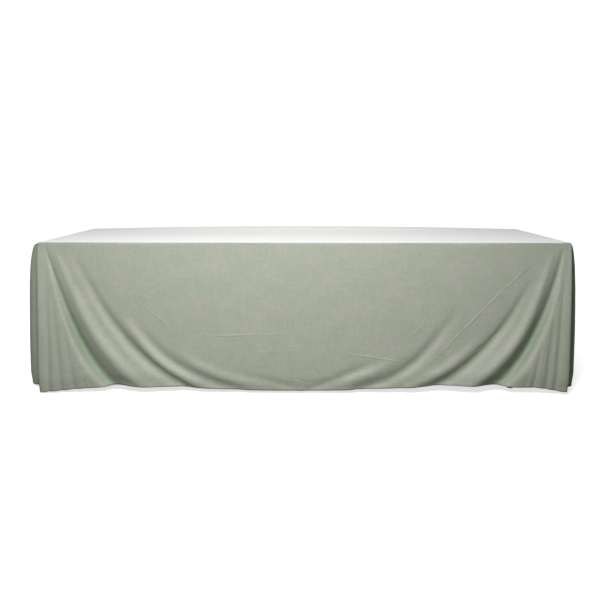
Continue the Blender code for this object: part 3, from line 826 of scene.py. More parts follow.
DRAPE_A = CornerDrape(
    folds=(
        FoldLine((-1.014, 0.0), (-1.014, 0.028), 1.30, 0.011),
        FoldLine((-0.823, 0.0), (-0.823, 0.029), 1.30, 0.015),
        FoldLine((-0.620, 0.0), (-0.620, 0.030), 1.30, 0.025),
        FoldLine((-0.480, 0.0), (-0.490, 0.030), 1.25, 0.027),
        FoldLine((-0.330, 0.0), (-0.360, 0.030), 1.25, 0.029),
        FoldLine((-0.210, 0.0), (-0.285, 0.030), 1.20, 0.024),
        FoldLine((-0.120, 0.0), (-0.225, 0.031), 1.18, 0.021),
        FoldLine((-0.070, 0.0), (-0.170, 0.033), 1.12, 0.018),
        FoldLine((-0.046, 0.0), (-0.118, 0.034), 1.05, 0.014),
        FoldLine((-0.032, 0.0), (-0.070, 0.034), 1.00, 0.008),
        FoldLine((-0.020, -0.0005), (-0.024, 0.036), 0.94, 0.004),
        FoldLine((-0.010, -0.002), (0.016, 0.038), 0.84, 0.001),
        FoldLine((-0.006, -0.003), (0.038, 0.036), 0.74, 0.0005),
        FoldLine((-0.004, -0.004), (0.050, 0.020), 0.66, 0.003),
        FoldLine((-0.003, -0.006), (0.042, -0.006), 0.66, 0.006),
        FoldLine((-0.002, -0.008), (-0.014, -0.034), 0.70, 0.008),
        FoldLine((-0.002, -0.011), (0.006, -0.058), 0.62, 0.008),
        FoldLine((-0.001, -0.014), (0.090, -0.062), 0.36, 0.006),
        FoldLine((-0.001, -0.018), (0.132, -0.090), 0.36, 0.006),
        FoldLine((0.0, -0.030), (0.112, -0.124), 0.48, 0.008),
        FoldLine((0.0, -0.050), (0.050, -0.146), 0.62, 0.010),
        FoldLine((0.0, -0.080), (0.040, -0.170), 0.72, 0.010),
        FoldLine((0.0, -0.115), (0.082, -0.200), 0.74, 0.008),
        FoldLine((0.0, -0.155), (0.070, -0.236), 0.85, 0.007),
        FoldLine((0.0, -0.205), (0.022, -0.268), 1.05, 0.006),
        FoldLine((0.0, -0.265), (0.046, -0.308), 1.10, 0.005),
        FoldLine((0.0, -0.325), (0.030, -0.346), 1.20, 0.004),
    ),
    strokes=(
        Stroke((
            (0.030, 0.03, -0.001, 0.007), (0.073, 0.287, -0.014, 0.013),
            (0.108, 0.467, -0.026, 0.018), (0.145, 0.623, -0.036, 0.023),
            (0.184, 0.739, -0.041, 0.027), (0.234, 0.857, -0.040, 0.031),
            (0.300, 0.950, -0.034, 0.035), (0.360, 1.040, -0.026, 0.040),
        ), corner_side=0.75, far_side=1.35),
        Stroke((
            (0.066, 0.03, 0.0005, 0.010), (0.139, 0.297, 0.008, 0.020),
            (0.190, 0.475, 0.015, 0.025), (0.244, 0.620, 0.020, 0.030),
            (0.328, 0.793, 0.022, 0.034), (0.416, 0.911, 0.018, 0.037),
            (0.520, 1.030, 0.012, 0.040),
        )),
        Stroke((
            (0.140, 0.03, -0.0005, 0.012), (0.234, 0.312, -0.008, 0.018),
            (0.298, 0.478, -0.014, 0.021), (0.372, 0.633, -0.019, 0.024),
            (0.460, 0.776, -0.022, 0.026), (0.548, 0.870, -0.021, 0.027),
            (0.639, 0.948, -0.018, 0.027), (0.720, 1.020, -0.012, 0.030),
        )),
        Stroke((
            (0.370, 0.48, 0.001, 0.020), (0.425, 0.600, 0.008, 0.021),
            (0.510, 0.754, 0.012, 0.023), (0.598, 0.855, 0.012, 0.023),
            (0.700, 0.940, 0.008, 0.023),
        )),
        Stroke((
            (0.430, 0.52, -0.001, 0.020), (0.509, 0.680, -0.009, 0.021),
            (0.595, 0.795, -0.013, 0.022), (0.684, 0.868, -0.014, 0.021),
            (0.790, 0.933, -0.012, 0.021), (0.912, 0.985, -0.007, 0.022),
        )),
        Stroke((
            (0.600, 0.70, 0.001, 0.020), (0.689, 0.790, 0.007, 0.019),
            (0.785, 0.860, 0.009, 0.019), (0.914, 0.924, 0.007, 0.019),
            (1.020, 0.955, 0.002, 0.018),
        )),
        Stroke((
            (0.880, 0.86, -0.001, 0.014), (1.004, 0.900, -0.006, 0.014),
            (1.095, 0.930, -0.007, 0.014), (1.180, 0.965, -0.003, 0.014),
        )),
        Stroke((
            (0.024, 0.28, -0.0005, 0.007), (0.016, 0.60, -0.005, 0.009),
            (0.004, 1.00, -0.009, 0.011),
        )),
        Stroke((
            (0.050, 0.33, -0.0005, 0.008), (0.055, 0.65, -0.004, 0.010),
            (0.062, 1.00, -0.007, 0.011),
        )),
        Stroke((
            (0.086, 0.40, -0.0005, 0.008), (0.104, 0.70, -0.003, 0.010),
            (0.128, 1.00, -0.006, 0.011),
        )),
        Stroke((
            (0.168, 0.88, 0.0, 0.005), (0.176, 0.94, -0.003, 0.005), (0.182, 1.00, -0.004, 0.006),
        ), smoothing=4.0),
        Stroke((
            (0.196, 0.91, 0.0, 0.005), (0.206, 0.96, -0.003, 0.005), (0.212, 1.00, -0.004, 0.006),
        ), smoothing=4.0),
        Stroke((
            (0.330, 0.925, 0.0, 0.008), (0.400, 0.965, 0.004, 0.008), (0.470, 0.985, 0.0, 0.008),
        ), smoothing=5.0),
    ),
)

DRAPE_B = CornerDrape(
    folds=(
        FoldLine((-1.044, 0.0), (-1.044, 0.028), 1.30, 0.012),
        FoldLine((-0.949, 0.0), (-0.949, 0.029), 1.30, 0.016),
        FoldLine((-0.760, 0.0), (-0.760, 0.030), 1.30, 0.025),
        FoldLine((-0.570, 0.0), (-0.570, 0.030), 1.30, 0.035),
        FoldLine((-0.420, 0.0), (-0.440, 0.030), 1.25, 0.038),
        FoldLine((-0.270, 0.0), (-0.320, 0.030), 1.25, 0.034),
        FoldLine((-0.150, 0.0), (-0.225, 0.030), 1.20, 0.030),
        FoldLine((-0.090, 0.0), (-0.170, 0.031), 1.15, 0.030),
        FoldLine((-0.056, 0.0), (-0.120, 0.032), 1.08, 0.030),
        FoldLine((-0.036, 0.0), (-0.078, 0.033), 1.02, 0.025),
        FoldLine((-0.022, -0.0005), (-0.040, 0.034), 0.96, 0.019),
        FoldLine((-0.012, -0.002), (-0.004, 0.036), 0.88, 0.013),
        FoldLine((-0.007, -0.003), (0.022, 0.038), 0.78, 0.011),
        FoldLine((-0.005, -0.004), (0.038, 0.030), 0.70, 0.012),
        FoldLine((-0.003, -0.006), (0.040, 0.004), 0.66, 0.014),
        FoldLine((-0.002, -0.008), (-0.012, -0.032), 0.70, 0.012),
        FoldLine((-0.002, -0.011), (0.004, -0.056), 0.62, 0.010),
        FoldLine((-0.001, -0.014), (0.074, -0.058), 0.46, 0.006),
        FoldLine((-0.001, -0.018), (0.108, -0.084), 0.48, 0.005),
        FoldLine((0.0, -0.030), (0.100, -0.118), 0.54, 0.007),
        FoldLine((0.0, -0.050), (0.048, -0.142), 0.62, 0.010),
        FoldLine((0.0, -0.080), (0.036, -0.172), 0.72, 0.011),
        FoldLine((0.0, -0.115), (0.078, -0.204), 0.74, 0.009),
        FoldLine((0.0, -0.155), (0.068, -0.240), 0.85, 0.007),
        FoldLine((0.0, -0.205), (0.020, -0.272), 1.05, 0.006),
        FoldLine((0.0, -0.265), (0.044, -0.310), 1.10, 0.005),
        FoldLine((0.0, -0.325), (0.030, -0.347), 1.20, 0.004),
    ),
    strokes=(
        Stroke((
            (0.034, 0.06, -0.002, 0.008), (0.052, 0.240, -0.014, 0.014),
            (0.073, 0.380, -0.024, 0.019), (0.102, 0.518, -0.034, 0.024),
            (0.140, 0.655, -0.042, 0.028), (0.192, 0.795, -0.044, 0.032),
            (0.250, 0.902, -0.040, 0.035), (0.312, 0.970, -0.032, 0.038),
            (0.370, 1.050, -0.024, 0.042),
        ), corner_side=0.75, far_side=1.35),
        Stroke((
            (0.080, 0.08, 0.001, 0.012), (0.112, 0.250, 0.006, 0.018),
            (0.147, 0.414, 0.013, 0.024), (0.190, 0.575, 0.019, 0.028),
            (0.252, 0.719, 0.023, 0.031), (0.330, 0.840, 0.022, 0.033),
            (0.404, 0.920, 0.018, 0.034), (0.480, 1.020, 0.013, 0.036),
        )),
        Stroke((
            (0.170, 0.24, -0.001, 0.010), (0.220, 0.400, -0.006, 0.014),
            (0.270, 0.525, -0.014, 0.016), (0.340, 0.660, -0.020, 0.019),
            (0.415, 0.780, -0.023, 0.023), (0.500, 0.885, -0.022, 0.026),
            (0.575, 0.945, -0.018, 0.027), (0.650, 1.010, -0.011, 0.028),
        )),
        Stroke((
            (0.400, 0.64, 0.002, 0.020), (0.480, 0.760, 0.010, 0.021),
            (0.590, 0.872, 0.013, 0.023), (0.720, 0.960, 0.008, 0.023),
        )),
        Stroke((
            (0.500, 0.44, -0.001, 0.018), (0.560, 0.560, -0.006, 0.020),
            (0.620, 0.680, -0.011, 0.021), (0.690, 0.795, -0.016, 0.022),
            (0.780, 0.885, -0.018, 0.023), (0.870, 0.938, -0.015, 0.023),
            (0.962, 0.978, -0.010, 0.023),
        )),
        Stroke((
            (0.760, 0.74, 0.001, 0.018), (0.860, 0.840, 0.007, 0.018),
            (0.960, 0.900, 0.007, 0.018), (1.040, 0.950, 0.002, 0.018),
        )),
        Stroke((
            (0.880, 0.78, -0.001, 0.016), (0.964, 0.843, -0.008, 0.016),
            (1.054, 0.898, -0.010, 0.016), (1.144, 0.951, -0.008, 0.017),
            (1.200, 0.980, -0.004, 0.017),
        )),
        Stroke((
            (0.020, 0.25, -0.0005, 0.007), (0.022, 0.60, -0.005, 0.009),
            (0.024, 1.00, -0.008, 0.010),
        )),
        Stroke((
            (0.050, 0.40, -0.0005, 0.008), (0.060, 0.70, -0.005, 0.010),
            (0.072, 1.00, -0.008, 0.011),
        )),
        Stroke((
            (0.100, 0.62, -0.0005, 0.008), (0.116, 0.80, -0.004, 0.009),
            (0.132, 1.00, -0.007, 0.010),
        )),
        Stroke((
            (0.150, 0.84, 0.0, 0.006), (0.164, 0.92, -0.003, 0.006), (0.172, 1.00, -0.005, 0.007),
        ), smoothing=4.0),
    ),
)

DRAPES = {
    Corner.FRONT_RIGHT: DRAPE_B,
    Corner.BACK_RIGHT: DRAPE_A,
    Corner.BACK_LEFT: DRAPE_B,
    Corner.FRONT_LEFT: DRAPE_A,
}
MIDDLE_LONG = FoldLine((-1.219, 0.0), (-1.219, 0.028), 1.30, 0.009)
MIDDLE_SHORT = FoldLine((0.0, -0.381), (0.034, -0.381), 1.20, 0.004)


@dataclass
class Tablecloth:
    """The cloth: a flat top, four hanging sides, and corners that fall in folds.

    Attributes:
        length: The table top's length.
        width: The table top's width.
        corner_radius: How tightly the cloth is drawn round the corners of the top.
        table_height: The height of the table top's surface.
        rest_gap: The gap between the table top and the cloth's underside.
        side_gap: The gap between the table's edge and the cloth.
        thickness: The cloth's thickness.
        hem_floor_gap: How far the hem's lowest places are above the floor.
        edge_band: How far down the table's edge holds the cloth out.
        edge_radius: How tightly the cloth turns over the table's edge.
        column_spacing: Spacing of the mesh's columns at the hem.
        back_coarseness: How many times wider the columns of the back half are.
        least_step: The least that each column moves on round the table's edge.
        row_count: Rows of mesh down the drop.
        hem_height: Width of the turned-up hem.
        curl: How far the hem tucks back under the cloth's fullest line.
        ruck: Height of the slack ruck along the back edge of the top.
        ruck_reach: How far the ruck runs each way from the middle of the table.
        ruck_band: Where the ruck starts to rise and where it is full, towards the back edge.
        ruck_fade: How far below the top the ruck dies away.
        stroke_overrun: How far a corner's strokes run past the middle of the table.
        stroke_ends: Distances in from the corner between which its strokes rise to full height.
        deepest_hollow: How far in a hollow may reach below the table's edge band.
        painted_shade_depths: How far in a hollow the painted shade starts, and where it is full.
        flat_corner: Radius of the corner that the flat coordinates turn round.
        top_rings: Rings of the flat top, as shares of the way to its middle line.
        columns: Edge x, edge y, hem x, hem y, belly and lift of each column, round the table.
        places: Places of the outside of the cloth by row and column, in metres.
        hollows: How deep in a hollow each of those places lies, from 0 to 1, as the mask of the
            painted shade.
    """

    length: float = 2.438
    width: float = 0.762
    corner_radius: float = 0.004
    table_height: float = 0.724
    rest_gap: float = 0.0003
    side_gap: float = 0.0008
    thickness: float = 0.0009
    hem_floor_gap: float = 0.010
    edge_band: float = 0.047
    edge_radius: float = 0.0025
    column_spacing: float = 0.0088
    back_coarseness: float = 1.7
    least_step: float = 0.000002
    row_count: int = 54
    hem_height: float = 0.025
    curl: float = 0.007
    ruck: float = 0.014
    ruck_reach: float = 1.16
    ruck_band: tuple[float, float] = (0.17, 0.368)
    ruck_fade: float = 0.10
    stroke_overrun: float = 0.25
    stroke_ends: tuple[float, float] = (-0.05, -0.02)
    deepest_hollow: float = 0.5
    painted_shade_depths: tuple[float, float] = (0.004, 0.045)
    flat_corner: float = 0.03
    top_rings: tuple[float, ...] = (0.02, 0.05, 0.10, 0.16, 0.24, 0.34, 0.46, 0.60)
    columns: Array = field(init=False)
    places: Array = field(init=False)
    hollows: Array = field(init=False)

    def __post_init__(self) -> None:
        """Lays out the cloth's columns and its surface."""
        self.gather_columns()
        self.shape_surface()

    @property
    def surface_height(self) -> float:
        """The height of the cloth's upper face on the table.

        Returns:
            The height above the floor.
        """
        return self.table_height + self.rest_gap + self.thickness

    @property
    def drop(self) -> float:
        """The longest fall, from the cloth's upper face to the hem.

        Returns:
            The fall.
        """
        return self.surface_height - self.hem_floor_gap

    @property
    def reach(self) -> float:
        """From the table's edge to the outside of the cloth.

        Returns:
            The distance out.
        """
        return self.side_gap + self.thickness

    def quarter(self, folds: tuple[FoldLine, ...], coarse: float) -> Array:
        """Finely sampled columns of half a long side, a corner and half a short side.

        Args:
            folds: The fold lines of the corner, from the long side round to the short side.
            coarse: How many times wider than usual the columns are.

        Returns:
            Rows of edge x, edge y, hem x, hem y, belly and lift, from the middle of the long side.
        """
        rows = np.array([line.row() for line in (MIDDLE_LONG, *folds, MIDDLE_SHORT)])
        steps = np.linalg.norm(np.diff(rows[:, 2:4], axis=0), axis=1)
        at = [0.0]
        for number, step in enumerate(steps):
            count = max(3, round(step / (self.column_spacing * coarse)))
            at += [number + (i + 1) / count for i in range(count)]
        sampled = catmull_rom(rows, np.array(at))
        along = np.maximum.accumulate(sampled[:, 0] - sampled[:, 1])
        along += self.least_step * np.arange(len(along))
        sampled[:, 0] = np.minimum(along, 0.0)
        sampled[:, 1] = -np.maximum(along, 0.0)
        return sampled

    def on_edge(self, x: Array, y: Array) -> tuple[Array, Array]:
        """Moves places near the top's outline onto it.

        Args:
            x: Places beyond the end.
            y: Places beyond the long side.

        Returns:
            The places on the outline of the cloth's outside.
        """
        in_x, in_y = x + self.corner_radius, y + self.corner_radius
        round_corner = (in_x > 0) & (in_y > 0)
        turn = np.arctan2(in_y, in_x)
        radius = self.corner_radius + self.reach
        long_side = in_y > in_x
        new_x = np.where(long_side, x, self.reach)
        new_y = np.where(long_side, self.reach, y)
        new_x = np.where(round_corner, radius * np.cos(turn) - self.corner_radius, new_x)
        new_y = np.where(round_corner, radius * np.sin(turn) - self.corner_radius, new_y)
        return new_x, new_y

    def gather_columns(self) -> None:
        """Joins the four corners' columns in order round the table."""
        around = []
        for corner in Corner:
            sign_x, sign_y = corner.value
            order = 1 if sign_x * sign_y < 0 else -1
            coarse = 1.0 if sign_y < 0 else self.back_coarseness
            rows = self.quarter(DRAPES[corner].folds, coarse)[::order][:-1].copy()
            edge_x, edge_y = self.on_edge(rows[:, 0], rows[:, 1])
            rows[:, 0] = sign_x * (self.length / 2 + edge_x)
            rows[:, 1] = sign_y * (self.width / 2 + edge_y)
            rows[:, 2] = sign_x * (self.length / 2 + rows[:, 2])
            rows[:, 3] = sign_y * (self.width / 2 + rows[:, 3])
            around.append(rows)
        self.columns = np.concatenate(around)

    def outward(self) -> Array:
        """Which way is out from the table's edge at each column.

        Returns:
            Unit directions, one for each column.
        """
        edge = self.columns[:, 0:2]
        tangent = np.roll(edge, -1, axis=0) - np.roll(edge, 1, axis=0)
        out = np.stack([tangent[:, 1], -tangent[:, 0]], axis=1)
        return out / np.linalg.norm(out, axis=1)[:, None]

    def hang(self, shares: Array) -> Array:
        """Places of the hanging sides before the strokes and creases.

        Args:
            shares: Shares of the drop, one for each row of the mesh.

        Returns:
            Places by row and column.
        """
        edge, hem = self.columns[:, 0:2], self.columns[:, 2:4]
        belly, lift = self.columns[:, 4], self.columns[:, 5]
        start = self.edge_radius / self.drop
        down = np.clip((shares[:, None] - start) / (1 - start), 0.0, 1.0)
        out = down ** belly[None, :]
        places = np.empty((len(shares), len(self.columns), 3))
        tuck = self.curl * smoothstep(0.90, 1.0, shares)
        places[:, :, 0:2] = edge[None] + (hem - edge)[None] * out[:, :, None]
        places[:, :, 0:2] -= self.outward()[None] * tuck[:, None, None]
        places[:, :, 2] = self.surface_height - (self.drop - lift)[None, :] * shares[:, None]
        return places

    def stroke_height(self, stroke: Stroke, inward: Array, depth: Array) -> Array:
        """How far one stroke moves the cloth out.

        Args:
            stroke: The ridge or hollow.
            inward: Distance in from the corner of each point.
            depth: Depth below the top of each point.

        Returns:
            The distance out at each point.
        """
        path, heights, widths = stroke.path(self.drop)
        nearest = np.full(inward.shape, np.inf)
        height = np.zeros(inward.shape)
        for number in range(len(path) - 1):
            start, run = path[number], path[number + 1] - path[number]
            t = ((inward - start[0]) * run[0] + (depth - start[1]) * run[1]) / (run @ run)
            t = np.clip(t, 0.0, 1.0)
            away = np.hypot(inward - start[0] - t * run[0], depth - start[1] - t * run[1])
            width = widths[number] + (widths[number + 1] - widths[number]) * t
            beyond = (inward - start[0]) * run[1] > (depth - start[1]) * run[0]
            width = width * np.where(beyond, stroke.far_side, stroke.corner_side)
            level = heights[number] + (heights[number + 1] - heights[number]) * t
            closer = away < nearest
            height = np.where(closer, level * np.exp(-((away / width) ** 2)), height)
            nearest = np.where(closer, away, nearest)
        return height

    def press_strokes(self, places: Array) -> Array:
        """Moves the long sides out and in along their strokes.

        Args:
            places: Places by row and column, changed in place.

        Returns:
            How deep in a hollow each place lies, from 0 to 1, as the mask of the painted shade.
        """
        depth = self.surface_height - places[:, :, 2]
        before = places[:, :, 0].copy()
        hollows = np.zeros(depth.shape)
        for corner in Corner:
            sign_x, sign_y = corner.value
            facing = self.columns[:, 1] * sign_y > self.width / 2 - self.corner_radius
            inward = self.length / 2 - sign_x * before
            near = facing[None, :] & (sign_x * before > -self.stroke_overrun)
            total = np.zeros(inward.shape)
            for stroke in DRAPES[corner].strokes:
                total += self.stroke_height(stroke, inward, depth)
            total *= smoothstep(*self.stroke_ends, inward) * near
            spare = sign_y * places[:, :, 1] - self.width / 2 - self.reach
            below_edge = smoothstep(self.edge_band, 3 * self.edge_band, depth)
            deepest = -spare - self.deepest_hollow * below_edge
            pressed = np.where(near, np.maximum(total, np.minimum(deepest, 0.0)), 0.0)
            places[:, :, 1] += sign_y * pressed
            # Mask of the painted shade, fullest where the cloth is pressed furthest in.
            hollows += smoothstep(*self.painted_shade_depths, -pressed)
        return hollows

    def unsettle(self, places: Array, shares: Array) -> None:
        """Adds the slight unevenness that cloth hangs with.

        Args:
            places: Places by row and column, changed in place.
            shares: Shares of the drop, one for each row.
        """
        out = self.outward()
        for row, share in enumerate(shares):
            grow = 0.0003 + 0.0032 * share
            for column in range(places.shape[1]):
                x, y, z = places[row, column]
                wave = noise.noise(Vector((x * 3.3, y * 3.3, z * 1.6)))
                fine = noise.noise(Vector((x * 12.0, y * 12.0, z * 6.0 + 7.0)))
                crumple = noise.noise(Vector((x * 34.0, y * 34.0, z * 22.0 + 3.0)))
                shift = grow * (wave + 0.35 * fine) + 0.0007 * crumple * min(1.0, 4 * share)
                places[row, column, 0:2] += out[column] * shift

    def raise_ruck(self, places: Array) -> None:
        """Raises the slack along the back edge of the top.

        Args:
            places: Places by row and column, changed in place.
        """
        along = np.clip(1 - (np.abs(places[:, :, 0]) / self.ruck_reach) ** 2.2, 0.0, 1.0)
        across = smoothstep(*self.ruck_band, places[:, :, 1])
        depth = np.maximum(self.surface_height - places[:, :, 2], 0.0)
        places[:, :, 2] += self.ruck * along * across * np.exp(-depth / self.ruck_fade)

    def turned_edge(self) -> list[Array]:
        """Rings of the cloth where it turns over the table's edge.

        Returns:
            Rings of places, from the flat top outwards.
        """
        edge, out = self.columns[:, 0:2], self.outward()
        rings = []
        for degrees in TURN_DEGREES:
            turn = math.radians(degrees)
            inset = self.edge_radius * (1 - math.cos(turn))
            ring = np.empty((len(edge), 3))
            ring[:, 0:2] = edge - out * inset
            ring[:, 2] = self.surface_height - self.edge_radius * (1 - math.sin(turn))
            rings.append(ring)
        return rings

    def flat_top(self, outer: Array) -> list[Array]:
        """Rings of the flat top, from its middle line outwards.

        Args:
            outer: The outermost flat ring.

        Returns:
            Rings of places, from the middle outwards, without the outermost one.
        """
        spine = outer.copy()
        limit = self.length / 2 - self.width / 2
        spine[:, 0] = np.clip(outer[:, 0], -limit, limit)
        spine[:, 1] = 0.0
        return [outer + (spine - outer) * share for share in self.top_rings[::-1]]

    def shape_surface(self) -> None:
        """Shapes the whole outside of the cloth as a grid of places."""
        first = self.edge_radius / self.drop
        last = 1 - self.hem_height / self.drop
        shares = first + (last - first) * (np.linspace(0, 1, self.row_count - HEM_ROWS) ** 1.05)
        shares = np.concatenate([shares, np.linspace(last, 1.0, HEM_ROWS + 1)[1:]])
        hanging = self.hang(shares)
        hollows = self.press_strokes(hanging)
        self.unsettle(hanging, shares)
        turned = self.turned_edge()
        self.places = np.array(self.flat_top(turned[0]) + turned + list(hanging))
        self.hollows = np.zeros(self.places.shape[:2])
        self.hollows[-len(shares) :] = hollows
        self.raise_ruck(self.places)

    def flat_coordinates(self) -> Array:
        """Where each point lies on the cloth before it was draped.

        Returns:
            Two coordinates in metres by row and column.
        """
        places, first = self.places, len(self.top_rings)
        edge = places[first, :, 0:2]
        half = np.array([self.length / 2, self.width / 2]) - self.flat_corner
        beyond = edge - np.clip(edge, -half, half)
        away = beyond / np.maximum(np.linalg.norm(beyond, axis=1), 1e-9)[:, None]
        steps = np.linalg.norm(np.diff(places[first:], axis=0), axis=2)
        fallen = np.concatenate([np.zeros((1, len(edge))), np.cumsum(steps, axis=0)])
        flat = np.empty((*places.shape[:2], 2))
        flat[:first] = places[:first, :, 0:2]
        flat[first:] = edge[None] + away[None] * fallen[:, :, None]
        return flat

    def grid_object(
        self, name: str, first_row: int, material: bpy.types.Material
    ) -> bpy.types.Object:
        """A mesh of the surface from one row down to the hem.

        Args:
            name: The object's name.
            first_row: The uppermost row to use.
            material: Its finish.

        Returns:
            The new object, with its flat coordinates, the mask of its top's painted highlight and
            the mask of its hollows' painted shade.
        """
        places = self.places[first_row:]
        rows, count, _ = places.shape
        faces = []
        for row in range(rows - 1):
            for column in range(count):
                a, b = row * count + column, row * count + (column + 1) % count
                faces.append((a, a + count, b + count, b))
        if first_row == 0:
            faces.append(tuple(range(count)))
        obj = new_mesh_object(name, places.reshape(-1, 3), faces)
        layer = obj.data.uv_layers.new(name="cloth")
        flat = self.flat_coordinates()[first_row:].reshape(-1, 2)
        numbers = np.empty(len(obj.data.loops), int)
        obj.data.loops.foreach_get("vertex_index", numbers)
        layer.data.foreach_set("uv", flat[numbers].ravel())
        # The top mask places the top's painted highlight, and the hollow mask places the painted
        # shade of the folds.
        rows_on_top = len(self.top_rings) + TURNED_RINGS_ON_TOP
        on_top = np.repeat(np.arange(first_row, first_row + rows) < rows_on_top, count)
        for title, values in (("on_top", on_top), ("hollow", self.hollows[first_row:])):
            mask = obj.data.attributes.new(title, "FLOAT", "POINT")
            mask.data.foreach_set("value", values.astype(float).ravel())
        obj.data.materials.append(material)
        return obj

    def build(self, material: bpy.types.Material) -> bpy.types.Object:
        """Makes the cloth.

        Args:
            material: The cloth's finish.

        Returns:
            The cloth, as one plain mesh.
        """
        cloth = self.grid_object("drape", 0, material)
        solidify = cloth.modifiers.new("thickness", "SOLIDIFY")
        solidify.thickness = self.thickness
        solidify.offset = -1.0
        make_real(cloth)
        return cloth

    def seam_places(self, below: float, proud: float) -> Array:
        """Places round the cloth along the hem's sewing line.

        Args:
            below: How far the line is below the top of the hem.
            proud: How far it stands out of the cloth.

        Returns:
            One place for each column.
        """
        upper, lower = self.places[-HEM_ROWS - 1], self.places[-HEM_ROWS]
        line = upper + (lower - upper) * below / (self.hem_height / HEM_ROWS)
        tangent = np.roll(line, -1, axis=0) - np.roll(line, 1, axis=0)
        out = np.cross(tangent, lower - upper)
        out /= -np.linalg.norm(out, axis=1)[:, None]
        return line + out * proud


@dataclass(frozen=True)
class Hem:
    """The turned-up band inside the bottom edge, and the row of stitches that holds it.

    Attributes:
        gap: The gap between the cloth and the band.
        thickness: The band's thickness.
        seam_below: How far the stitches are below the top of the band.
        stitch_length: The length of a stitch.
        stitch_pitch: The distance from one stitch to the next.
        stitch_radius: The thread's radius.
        stitch_proud: How far a stitch stands out of the cloth, as a share of that radius.
        stitch_seed: The seed of the stitches' slight difference in size.
    """

    gap: float = 0.0004
    thickness: float = 0.0007
    seam_below: float = 0.003
    stitch_length: float = 0.0032
    stitch_pitch: float = 0.0044
    stitch_radius: float = 0.00028
    stitch_proud: float = 0.4
    stitch_seed: int = 11

    def build_band(self, cloth: Tablecloth, material: bpy.types.Material) -> bpy.types.Object:
        """Makes the turned-up band.

        Args:
            cloth: The cloth that it is part of.
            material: The cloth's finish.

        Returns:
            The band, as one plain mesh.
        """
        band = cloth.grid_object("hem_band", len(cloth.places) - HEM_ROWS - 1, material)
        inset = cloth.thickness + self.gap
        for vertex in band.data.vertices:
            vertex.co -= vertex.normal * inset
        solidify = band.modifiers.new("thickness", "SOLIDIFY")
        solidify.thickness = self.thickness
        solidify.offset = -1.0
        make_real(band)
        return band

    def build_stitches(self, cloth: Tablecloth, material: bpy.types.Material) -> bpy.types.Object:
        """Makes the row of stitches.

        Args:
            cloth: The cloth that they are sewn through.
            material: The thread's finish.

        Returns:
            The stitches, as one plain mesh.
        """
        places = cloth.seam_places(self.seam_below, self.stitch_radius * self.stitch_proud)
        count = len(places)
        edges = [(i, (i + 1) % count) for i in range(count)]
        mesh = bpy.data.meshes.new("hem_stitches")
        mesh.from_pydata([tuple(place) for place in places], edges, [])
        stitches = bpy.data.objects.new("hem_stitches", mesh)
        bpy.context.scene.collection.objects.link(stitches)
        tree = stitch_tree()
        modifier = stitches.modifiers.new("stitches", "NODES")
        modifier.node_group = tree
        sockets = {i.name: i.identifier for i in tree.interface.items_tree if i.in_out == "INPUT"}
        modifier[sockets["Pitch"]] = self.stitch_pitch
        modifier[sockets["Length"]] = self.stitch_length
        modifier[sockets["Radius"]] = self.stitch_radius
        modifier[sockets["Seed"]] = self.stitch_seed
        modifier[sockets["Thread"]] = material
        make_real(stitches)
        return stitches


def stitch_tree() -> bpy.types.NodeTree:
    """Geometry nodes that lay a stitch at each step along a line of edges.

    Returns:
        The tree.
    """
    tree = bpy.data.node_groups.new("stitch_row", "GeometryNodeTree")
    for name, kind in (
        ("Geometry", "NodeSocketGeometry"),
        ("Pitch", FLOAT),
        ("Length", FLOAT),
        ("Radius", FLOAT),
        ("Seed", "NodeSocketInt"),
        ("Thread", "NodeSocketMaterial"),
    ):
        tree.interface.new_socket(name, in_out="INPUT", socket_type=kind)
    tree.interface.new_socket("Geometry", in_out="OUTPUT", socket_type="NodeSocketGeometry")
    nodes = NodeTree(tree)
    given, out = nodes.add("NodeGroupInput"), nodes.add("NodeGroupOutput")
    line = nodes.add("GeometryNodeMeshToCurve")
    nodes.join(given.outputs["Geometry"], line.inputs[0])
    steps = nodes.add("GeometryNodeResampleCurve", mode="LENGTH")
    nodes.join(line.outputs[0], steps.inputs["Curve"])
    nodes.join(given.outputs["Pitch"], steps.inputs["Length"])
    stitch = nodes.add("GeometryNodeMeshCylinder")
    stitch.inputs["Vertices"].default_value = 6
    nodes.join(given.outputs["Radius"], stitch.inputs["Radius"])
    nodes.join(given.outputs["Length"], stitch.inputs["Depth"])
    tangent = nodes.add("GeometryNodeInputTangent")
    turn = nodes.add("FunctionNodeAlignRotationToVector", axis="Z")
    nodes.join(tangent.outputs[0], turn.inputs["Vector"])
    vary = nodes.add("FunctionNodeRandomValue", data_type="FLOAT")
    vary.inputs[2].default_value = 0.90
    vary.inputs[3].default_value = 1.08
    nodes.join(given.outputs["Seed"], vary.inputs["Seed"])
    place = nodes.add("GeometryNodeInstanceOnPoints")
    nodes.join(steps.outputs[0], place.inputs["Points"])
    nodes.join(stitch.outputs["Mesh"], place.inputs["Instance"])
    nodes.join(turn.outputs[0], place.inputs["Rotation"])
    nodes.join(vary.outputs[1], place.inputs["Scale"])
    real = nodes.add("GeometryNodeRealizeInstances")
    nodes.join(place.outputs[0], real.inputs[0])
    finish = nodes.add("GeometryNodeSetMaterial")
    nodes.join(real.outputs[0], finish.inputs["Geometry"])
    nodes.join(given.outputs["Thread"], finish.inputs["Material"])
    nodes.join(finish.outputs[0], out.inputs[0])
    return tree


# ------------------------------------------------------------------ studio


